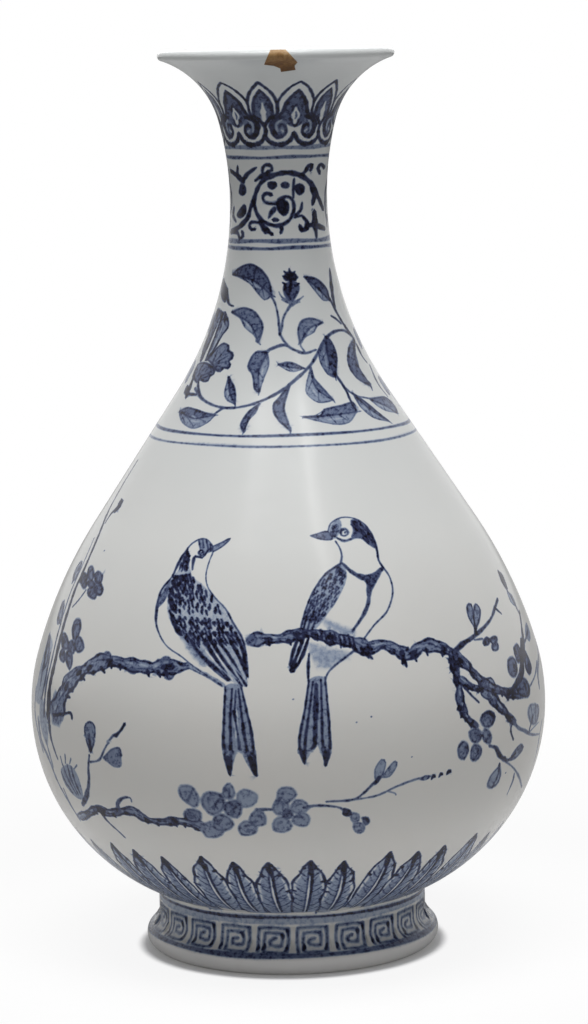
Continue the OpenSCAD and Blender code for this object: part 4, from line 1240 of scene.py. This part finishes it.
def tendril_scroll(face):
    """A running tendril that coils round a small dark flower, with comma leaves on both sides."""
    line(face, [(15.5, 265), (13.5, 270), (11.5, 274), (8, 277), (3.5, 278.2), (-1, 277.6), (-5, 275.8),
                (-7.4, 272.5), (-8.4, 268.5), (-7.8, 264.6), (-5.6, 261.6), (-2, 260), (1, 260.2),
                (3.8, 262), (5.3, 265.5), (4.8, 268.8), (2.6, 270), (0, 269)],
         (1.3, 1.6, 2.0, 2.3, 2.1, 2.2, 2.1, 1.7, 1.5, 1.5, 1.6, 1.7, 1.6, 1.5, 1.4, 1.2, 1.2), 0.84)
    line(face, [(-17, 257.3), (-14, 259.3), (-11, 262.5), (-9.8, 266), (-8.4, 270)],
         (2.2, 2.1, 1.8, 1.6, 1.3), 0.92)
    shape(face, [(-0.8, 268.4), (1.5, 269.3), (3.6, 267.2), (3.2, 264.2), (1.6, 263.2), (-0.4, 265.2)], 1.0)
    shape(face, [(-3.6, 275), (-1, 275.2), (-0.4, 273.6), (-2.2, 272.4), (-3.6, 273.4)], 0.9)
    shape(face, [(0.8, 274.2), (2.4, 275.2), (4, 274.2), (3.4, 272.8), (1.5, 272.9)], 0.76)
    line(face, [(5.6, 276), (5.2, 273), (5.2, 269.5)], (1.0, 1.3, 0.8), 0.85)
    shape(face, [(5.6, 273.4), (7.4, 274.4), (9.2, 273.2), (8.8, 271), (7.2, 270.2), (6, 271.4)], 0.92)
    line(face, [(-2.4, 270.6), (-4, 271.2), (-5.4, 270.2), (-5, 268.5), (-3.4, 267.6), (-1, 267.6)],
         (1.5, 1.5, 1.3, 1.2, 1.2), 0.86)
    shape(face, [(-1.4, 266.8), (-0.8, 265.4), (-2.2, 263.6), (-3.8, 262.2), (-3.2, 265)], 0.78)
    line(face, [(-1.8, 262), (-0.4, 261.9)], 1.9, 0.9)
    line(face, [(-5.4, 278.2), (-5.2, 280.2), (-3.8, 281.1), (-2.3, 280.6), (-2.2, 279.2), (-3.4, 278.8)],
         (1.4, 1.2, 1.5, 1.3, 1.5), 0.86)
    line(face, [(-8, 275.5), (-6, 277), (-3.6, 278)], (1.2, 2.2, 2.2), 0.92)
    line(face, [(8.4, 277.4), (9.6, 278.6), (10.6, 280.2), (11.8, 280.2), (11.4, 278.8)],
         (1.6, 1.5, 1.7, 1.9, 1.6), 0.9)
    line(face, [(14.6, 277.6), (14, 279.2), (15, 280.6), (16.2, 279.4)], (1.6, 1.6, 1.3, 1.2), 0.88)
    line(face, [(11.8, 272.4), (12.6, 270.2), (11.8, 266.8)], (2.2, 2.3, 1.2), 0.86)
    line(face, [(8.6, 262.4), (9.8, 260.8), (9.6, 258.8), (8, 258.2), (7.2, 259.8)],
         (1.3, 1.8, 2.2, 2.3, 1.8), 0.95)
    line(face, [(12.4, 264.2), (12.6, 260.5), (13, 255.6)], (1.8, 2.6, 1.0), 0.95)
    line(face, [(9.6, 259), (12, 259.8), (16, 258)], (1.4, 1.9, 2.0), 0.95)
    line(face, [(5.4, 262.6), (8, 263.1), (9.4, 261.8)], (0.8, 1.1, 1.0), 0.76)
    line(face, [(8.2, 267.6), (7.6, 265), (5.8, 263.3)], (0.9, 1.6, 1.1), 0.78)
    line(face, [(-16.6, 278.8), (-14, 277), (-12, 275)], (1.6, 2.2, 1.5), 0.88)
    line(face, [(-7.4, 280.2), (-10.5, 278), (-12.5, 275.3)], (0.7, 1.8, 2.0), 0.9)
    line(face, [(-14, 280.6), (-14.2, 278)], (0.7, 1.3), 0.8)
    shape(face, [(-13, 274.6), (-11.4, 273.6), (-11.2, 271.4), (-12.5, 270.2), (-13.8, 271), (-13.6, 273)],
          0.84)
    shape(face, [(-12, 267.4), (-11.2, 266), (-11.6, 263.8), (-13.5, 262.3), (-14.8, 263.4),
                 (-13.6, 265.6)], 0.92)
    line(face, [(-15.6, 266), (-16, 263), (-15, 261.2)], (0.7, 1.1, 0.8), 0.8)
    line(face, [(-16, 257.4), (-14.6, 257.4), (-14, 255.8)], (1.4, 1.6, 1.0), 0.86)
    line(face, [(-13, 257.8), (-12.6, 256.4), (-14, 255)], (1.2, 1.5, 0.8), 0.84)
    line(face, [(-7.4, 261), (-9.4, 261.2), (-10.4, 260), (-9.6, 258.6), (-8.4, 258.8)],
         (1.2, 1.3, 1.4, 1.3), 0.82)
    line(face, [(-6.6, 261.6), (-5.4, 259.4), (-2.4, 256.9)], (1.6, 2.3, 1.5), 0.92)
    line(face, [(0.4, 260), (1, 258.6), (0.5, 257.3)], (1.8, 1.7, 1.2), 0.86)
    line(face, [(-5.6, 258.6), (-4.8, 257.3)], (1.5, 1.0), 0.84)
    side = Spot(face.turn + math.pi / 2, 268.0)
    line(side, [(-4.6, -10), (-5.2, -3), (-4.4, 3), (-0.6, 6.4), (3.4, 5), (4.8, 1), (4.2, -3.4),
                (1.4, -5.4), (-1.4, -4.4), (-2.2, -1.4), (-0.4, 1)],
         (1.0, 1.4, 1.7, 1.6, 1.4, 1.3, 1.3, 1.2, 1.1, 1.0), 0.84)
    shape(side, [(-0.8, 1.4), (1.2, 1.6), (1.8, -0.4), (0.6, -2), (-0.8, -0.8)], 0.96)
    line(side, [(-3.4, 10.6), (-1.6, 8.6), (0.2, 7.6)], (0.8, 1.6, 1.2), 0.86)
    line(side, [(3.6, 10), (2.4, 8.6), (2.8, 6.4)], (1.6, 1.4, 0.9), 0.84)
    line(side, [(1.2, -5.6), (3, -8), (1.6, -10.4), (0, -9.4)], (1.0, 1.5, 1.8, 1.2), 0.86)
    line(side, [(-5, -6), (-2.8, -7.6), (-2.2, -9.8)], (0.9, 1.6, 0.9), 0.84)


def side_spray(angle):
    """An upright spray of leaves with a bud, between the two flower scrolls."""
    spray = Spot(angle, 216.0)
    line(spray, [(-4, -22), (-1.6, -14), (0.8, -6), (-0.6, 4), (0.8, 12), (0.2, 19)],
         (1.0, 1.3, 1.1, 1.2, 1.0, 0.9), 0.68)
    for points, tone in (([(-1.8, -14), (-5, -11.4), (-8, -13), (-8.6, -17.4), (-4.6, -16.8)], 0.5),
                         ([(0.6, -7), (4, -4.6), (7.4, -7), (8, -12), (4, -10.4)], 0.46),
                         ([(-0.6, 3), (-4, 5.8), (-6.4, 4), (-7, -1), (-3.6, 0.2)], 0.52),
                         ([(0.6, 10), (3.4, 12.4), (5.6, 10), (5.8, 5.4), (3, 6.8)], 0.46),
                         ([(0.2, 18.5), (-2, 21.4), (0.3, 26), (2.4, 21.6)], 0.62)):
        shape(spray, points, tone * 0.92, 0.6)
        line(spray, [*points, points[0]], (0.4, 0.9, 0.4, 0.8), min(tone + 0.14, 0.8))
        line(spray, [points[0], np.mean(points, axis=0), points[3]], (0.8, 0.6, 0.3), min(tone + 0.22, 0.85))


class Round:
    """Degrees round the vase from a middle line, and millimetres up, drawn in a little towards the throat."""

    FOOT_Z = 286
    DRAWN_IN = 0.955

    def __init__(self, middle):
        self.middle = middle

    def place(self, points):
        """Angles and heights of the points."""
        points = np.asarray(points, float)
        up = (points[:, 1] - self.FOOT_Z) * self.DRAWN_IN
        return np.radians(self.middle + points[:, 0]), self.FOOT_Z + up


def half_lappet(middle):
    """A lappet that looks out between two whole ones."""
    lappet = Round(middle)
    outlined(lappet, [(0, 310), (-9, 306), (-13, 302), (-12, 297), (0, 293), (12, 297), (13, 302),
                      (9, 306)], 0.0, 0.84, 1.1)
    shape(lappet, [(0, 307.2), (-7.5, 302.5), (-9.5, 298), (-5, 294.6), (0, 293), (5, 294.6), (9.5, 298),
                   (7.5, 302.5)], 0.54)
    line(lappet, [(0, 307.2), (-7, 303), (-9.5, 297.5)], (0.7, 1.3, 1.2), 0.8)
    line(lappet, [(0, 307.2), (7, 303), (9.5, 297.5)], (0.7, 1.3, 1.2), 0.8)
    line(lappet, [(0.6, 302.4), (0.4, 299.2), (0.8, 296.2)], (0.5, 2.2, 1.4), -0.9)


def whole_lappet(middle):
    """A cloud-headed lappet with a volute in each of its lower lobes."""
    lappet = Round(middle)
    edge = [(0, 310), (-8, 307.6), (-16, 303), (-17, 298.5), (-25, 296.4), (-31, 292.5), (-26, 288.5),
            (-14, 287.2), (-4, 288.8), (0, 291.5), (4, 288.8), (14, 287.2), (26, 288.5), (31, 292.5),
            (25, 296.4), (17, 298.5), (16, 303), (8, 307.6)]
    shape(lappet, edge, -1.0)
    line(lappet, [*edge, edge[0]],
         (0.8, 1.0, 0.9, 1.1, 1.4, 1.5, 1.7, 1.4, 1.4, 1.7, 1.5, 1.4, 1.1, 0.9, 1.0, 0.8), 0.9)
    ogee = [(0, 306.8), (-8.5, 303), (-12.5, 298.8), (-7, 294.6), (0, 293.6), (7, 294.6), (12.5, 298.8),
            (8.5, 303)]
    shape(lappet, ogee, 0.6)
    for flip in (-1, 1):
        line(lappet, [(0, 307), (flip * 8, 303), (flip * 12.5, 298.8), (flip * 20, 296.2)],
             (0.9, 1.4, 1.3, 1.0), 0.92)
        lobe = ((9, 297.4), (17, 297), (22.5, 294), (20, 290.8), (12, 289.9), (7, 291.5), (8, 294.5))
        shape(lappet, [(flip * x, z) for x, z in lobe], 0.5)
        curl = ((10, 297.4), (18.5, 296.6), (22.5, 293.4), (18.5, 290.4), (11.5, 290.4), (8.6, 292.6),
                (12, 294.6), (15.5, 293.6))
        line(lappet, [(flip * x, z) for x, z in curl], (0.8, 1.8, 2.4, 1.8, 1.2, 1.0, 0.8),
             0.97 if flip > 0 else 0.84)
        line(lappet, [(flip * 13.5, 296.1), (flip * 18.5, 294.6), (flip * 17.5, 292)], (0.5, 1.1, 0.6), -0.55)
        line(lappet, [(flip * 11.4, 292), (flip * 13.6, 292.6)], (0.9, 0.6), -0.7)
    line(lappet, [(0, 301.6), (-4.4, 297.6), (0, 294), (4.4, 297.6), (0, 301.6)], 0.9, 0.92)
    line(lappet, [(0, 300.4), (0.3, 297.8), (0, 295.2)], (1.0, 3.0, 1.4), -0.9)
    line(lappet, [(0.4, 299), (1.2, 297.4), (0.2, 296.6)], (0.5, 0.8, 0.5), 0.62)


for turn in range(6):
    half_lappet(-13.0 + 60 * turn)
for turn in range(6):
    whole_lappet(17.5 + 60 * turn)
for face in (Front(0.0), Front(math.pi)):
    flower_scroll(face)
    side_spray(face.turn + math.pi / 2)
    tendril_scroll(face)
ring(286.2, 1.4, 0.38)
ring(282.8, 1.1, 0.52)
ring(253.7, 1.5, 0.46)
ring(251.3, 1.2, 0.56)

neck_slip = thrown("neck_slip_glazed", neck_low, neck_high, np.concatenate((
    [run_point(WALL, neck_high)],
    arc(run_point(WALL, neck_joint_z), BEAD_R, 90 + run_angle, 270 + run_angle),
    [run_point(WALL, neck_low)])), 1.0)
settle(neck_slip, glaze, "slip", "neck_slip")


def slip_angle(radius):
    """Half the angle that a layer of slip takes up on a curve."""
    return math.degrees(math.asin(SLIP / 2 / radius))


throat_low, throat_high = NECK_Z - SLIP / 2, NECK_Z + SLIP / 2
neck_in_r, throat_in_r = neck_curve_r + WALL, THROAT_R + WALL
neck = thrown("neck_glazed", neck_high, throat_low,
              np.concatenate((arc(neck_centre, neck_in_r, 180 + slip_angle(neck_in_r), 180 + run_angle,
                                  2.0), [run_point(WALL, neck_high)])), 1.8)
settle(neck, glaze, "porcelain", "neck")
mouth_slip = thrown("mouth_slip_glazed", throat_low, throat_high, np.array((
    away(throat, throat_in_r, 180 - slip_angle(throat_in_r)), (NECK_R - WALL, NECK_Z),
    away(neck_centre, neck_in_r, 180 + slip_angle(neck_in_r)))), 1.0)
settle(mouth_slip, glaze, "slip", "mouth_slip")
PAINT_TOP = 312.5
above = outline[outline[:, 1] > PAINT_TOP + 0.2]
mouth = thrown("mouth_glazed", throat_high, PAINT_TOP, np.concatenate((
    above[:-1], arc(lip, WALL / 2, flare_end - 180, flare_end, 0.4),
    arc(flare, FLARE_R + WALL, flare_end, throat_end, 1.0)[1:],
    arc(throat, throat_in_r, throat_end, 180 - slip_angle(throat_in_r), 2.0)[1:])), 1.6)

# The chip in the lip, broken out with three ragged steps
CHIP_X, CHIP_HALF, CHIP_DEEP = 1.7, 5.7, 7.7
chip = [(-0.6, 0.26), (-0.6, 0.0), (-0.9, -0.46), (-1.0, -0.66), (-0.42, -0.72), (-0.05, -0.84),
        (0.0, -1.0), (0.88, -0.92), (0.82, -0.73), (1.0, -0.58), (0.3, 0.0), (0.3, 0.26)]
corners = [(CHIP_X + CHIP_HALF * x, y, HEIGHT + CHIP_DEEP * z) for y in (0.0, -90.0) for x, z in chip]
sides = [(i, (i + 1) % 12, 12 + (i + 1) % 12, 12 + i) for i in range(12)]
break_mesh = bpy.data.meshes.new("chip_break")
break_mesh.from_pydata([Vector(c) * MM for c in corners], [],
                       [tuple(range(11, -1, -1)), tuple(range(12, 24)), *sides])
chip_break = bpy.data.objects.new("chip_break", break_mesh)
bpy.context.collection.objects.link(chip_break)
cut = mouth.modifiers.new("chip", "BOOLEAN")
cut.operation = "DIFFERENCE"
cut.solver = "EXACT"
cut.object = chip_break
bpy.context.view_layer.objects.active = mouth
bpy.ops.object.modifier_apply(modifier="chip")
bpy.data.objects.remove(chip_break)
even_shading(mouth.data)
settle(mouth, glaze, "porcelain", "mouth")

# Rim fill
# Old lacquer, built up in the chip and rubbed down flush with the lip, brown with a paler worn top.
# Its shape is the CAD solid's own.
lacquer, lacquer_shader, place = new_material("old_lacquer")
height = place.node("ShaderNodeSeparateXYZ", out=2, Vector=place)
rubbed = place.node("ShaderNodeMapRange", _0=height, _1=0.3135, _2=0.3195)
crumb = place.node("ShaderNodeTexNoise", Vector=place, Scale=900.0, Detail=4.0, Roughness=0.7)
cloud = place.node("ShaderNodeTexNoise", Vector=place, Scale=260.0, Detail=2.0)
lacquer_tone = place.node("ShaderNodeValToRGB", {"stops": [
    (0.0, (0.040, 0.018, 0.007)), (0.35, (0.15, 0.070, 0.022)), (0.65, (0.31, 0.175, 0.066)),
    (1.0, (0.52, 0.38, 0.21))]}, _0=rubbed * 0.5 + crumb * 0.75 + cloud * 0.5 - 0.38)
lacquer.node_tree.links.new(lacquer_tone.socket, lacquer_shader.inputs["Base Color"])
pitted = place.node("ShaderNodeBump", Strength=0.35, Distance=0.0004, Height=crumb)
lacquer.node_tree.links.new(pitted.socket, lacquer_shader.inputs["Normal"])
lacquer_shader.inputs["Roughness"].default_value = 0.5
lacquer_shader.inputs["Specular IOR Level"].default_value = 0.3
rim_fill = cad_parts["rim_fill"]
rim_fill.data.materials.clear()
rim_fill.data.materials.append(lacquer)

# Studio: camera, floor and light
# The vase stands on a pale sweep under broad soft light, and is seen from about the height of its lip.
# The eye looks down a little, and is tipped to one side by about one degree.
EYE = (0, -1.2535, 0.3292)
EYE_TURN, EYE_DOWN, EYE_TIP = -0.152, 7.86, -1.107
LENS = 83.2
SENSOR = 24.0
camera = bpy.data.objects.new("camera", bpy.data.cameras.new("camera"))
bpy.context.collection.objects.link(camera)
bpy.context.scene.camera = camera
camera.data.sensor_fit = "VERTICAL"
camera.data.sensor_height = SENSOR
camera.data.lens = LENS
camera.data.clip_end = 20.0
aim = (Matrix.Rotation(math.radians(EYE_TURN), 4, "Z") @ Matrix.Rotation(math.radians(90 - EYE_DOWN), 4, "X")
       @ Matrix.Rotation(math.radians(EYE_TIP), 4, "Z"))
camera.matrix_world = Matrix.Translation(EYE) @ aim

bpy.ops.object.select_all(action="DESELECT")
bpy.ops.mesh.primitive_plane_add(size=12.0, location=(0, 0, 0))
floor = bpy.context.object
floor.name = "floor"
sweep, sweep_shader, place = new_material("pale_sweep")
sweep_shader.inputs["Roughness"].default_value = 0.9
seen = place.node("ShaderNodeLightPath")
distance = place.node("ShaderNodeVectorMath", {"operation": "LENGTH"}, out=1, _0=place)
far = distance.ease(0.0525, 0.057, 0.1, 0.9) + distance.ease(0.1, 0.45, 0.0, 0.1)
# The floor is painted paler near the foot: painted light, which throws more light back onto the foot and
# lightens the vase's shadow there.
pale = distance.ease(0.08, 0.2, 0.86, 0.5)
sweep.node_tree.links.new(pale.socket, sweep_shader.inputs["Base Color"])
glow = place.node("ShaderNodeEmission", Color=(1, 1, 1, 1), Strength=1.0)
bright = place.node("ShaderNodeMixShader", _0=seen * far,
                    _1=Socket(sweep.node_tree, sweep_shader.outputs[0]), _2=glow)
sweep.node_tree.links.new(bright.socket, sweep.node_tree.nodes["Material Output"].inputs["Surface"])
floor.data.materials.append(sweep)

# Behind the vase the room is white, as camera and mirror rays see it; the light that it sheds is weaker.
world = bpy.data.worlds.new("studio")
bpy.context.scene.world = world
world.use_nodes = True
sky = world.node_tree
direction = Socket(sky, sky.nodes.new("ShaderNodeTexCoord").outputs["Generated"])
behind = direction.node("ShaderNodeMapRange", _1=-0.1, _2=0.3,
                        _0=direction.node("ShaderNodeSeparateXYZ", out=1, Vector=direction))
camera_ray = direction.node("ShaderNodeLightPath", out=0)
mirror_ray = direction.node("ShaderNodeLightPath", out=3)
through_ray = direction.node("ShaderNodeLightPath", out=6)
shown = direction.maths("ADD", camera_ray, (mirror_ray + through_ray) * behind, True)
shed = direction.node("ShaderNodeBackground", Color=(1, 1, 1, 1), Strength=0.25)
white = direction.node("ShaderNodeBackground", Color=(1, 1, 1, 1), Strength=1.0)
room = direction.node("ShaderNodeMixShader", _0=shown, _1=shed, _2=white)
sky.links.new(room.socket, sky.nodes["World Output"].inputs["Surface"])


def soft_light(name, place, target, width, height, power):
    """A broad soft box, aimed at a point of the vase."""
    lamp = bpy.data.lights.new(name, "AREA")
    lamp.shape = "RECTANGLE"
    lamp.size = width
    lamp.size_y = height
    lamp.energy = power
    holder = bpy.data.objects.new(name, lamp)
    bpy.context.collection.objects.link(holder)
    towards = (Vector(target) - Vector(place)).to_track_quat("-Z", "Y")
    holder.matrix_world = Matrix.Translation(place) @ towards.to_matrix().to_4x4()


soft_light("top_soft_box", (0.0, -0.38, 1.9), (0, 0, 0.15), 1.3, 1.0, 36.2)
soft_light("tube", (0.42, -0.82, 1.35), (0, 0, 0.2), 0.03, 0.5, 1.0)
soft_light("back_fill", (0.0, 1.5, 0.9), (0, 0, 0.15), 1.2, 1.0, 4.5)
bpy.context.scene.view_settings.view_transform = "Standard"
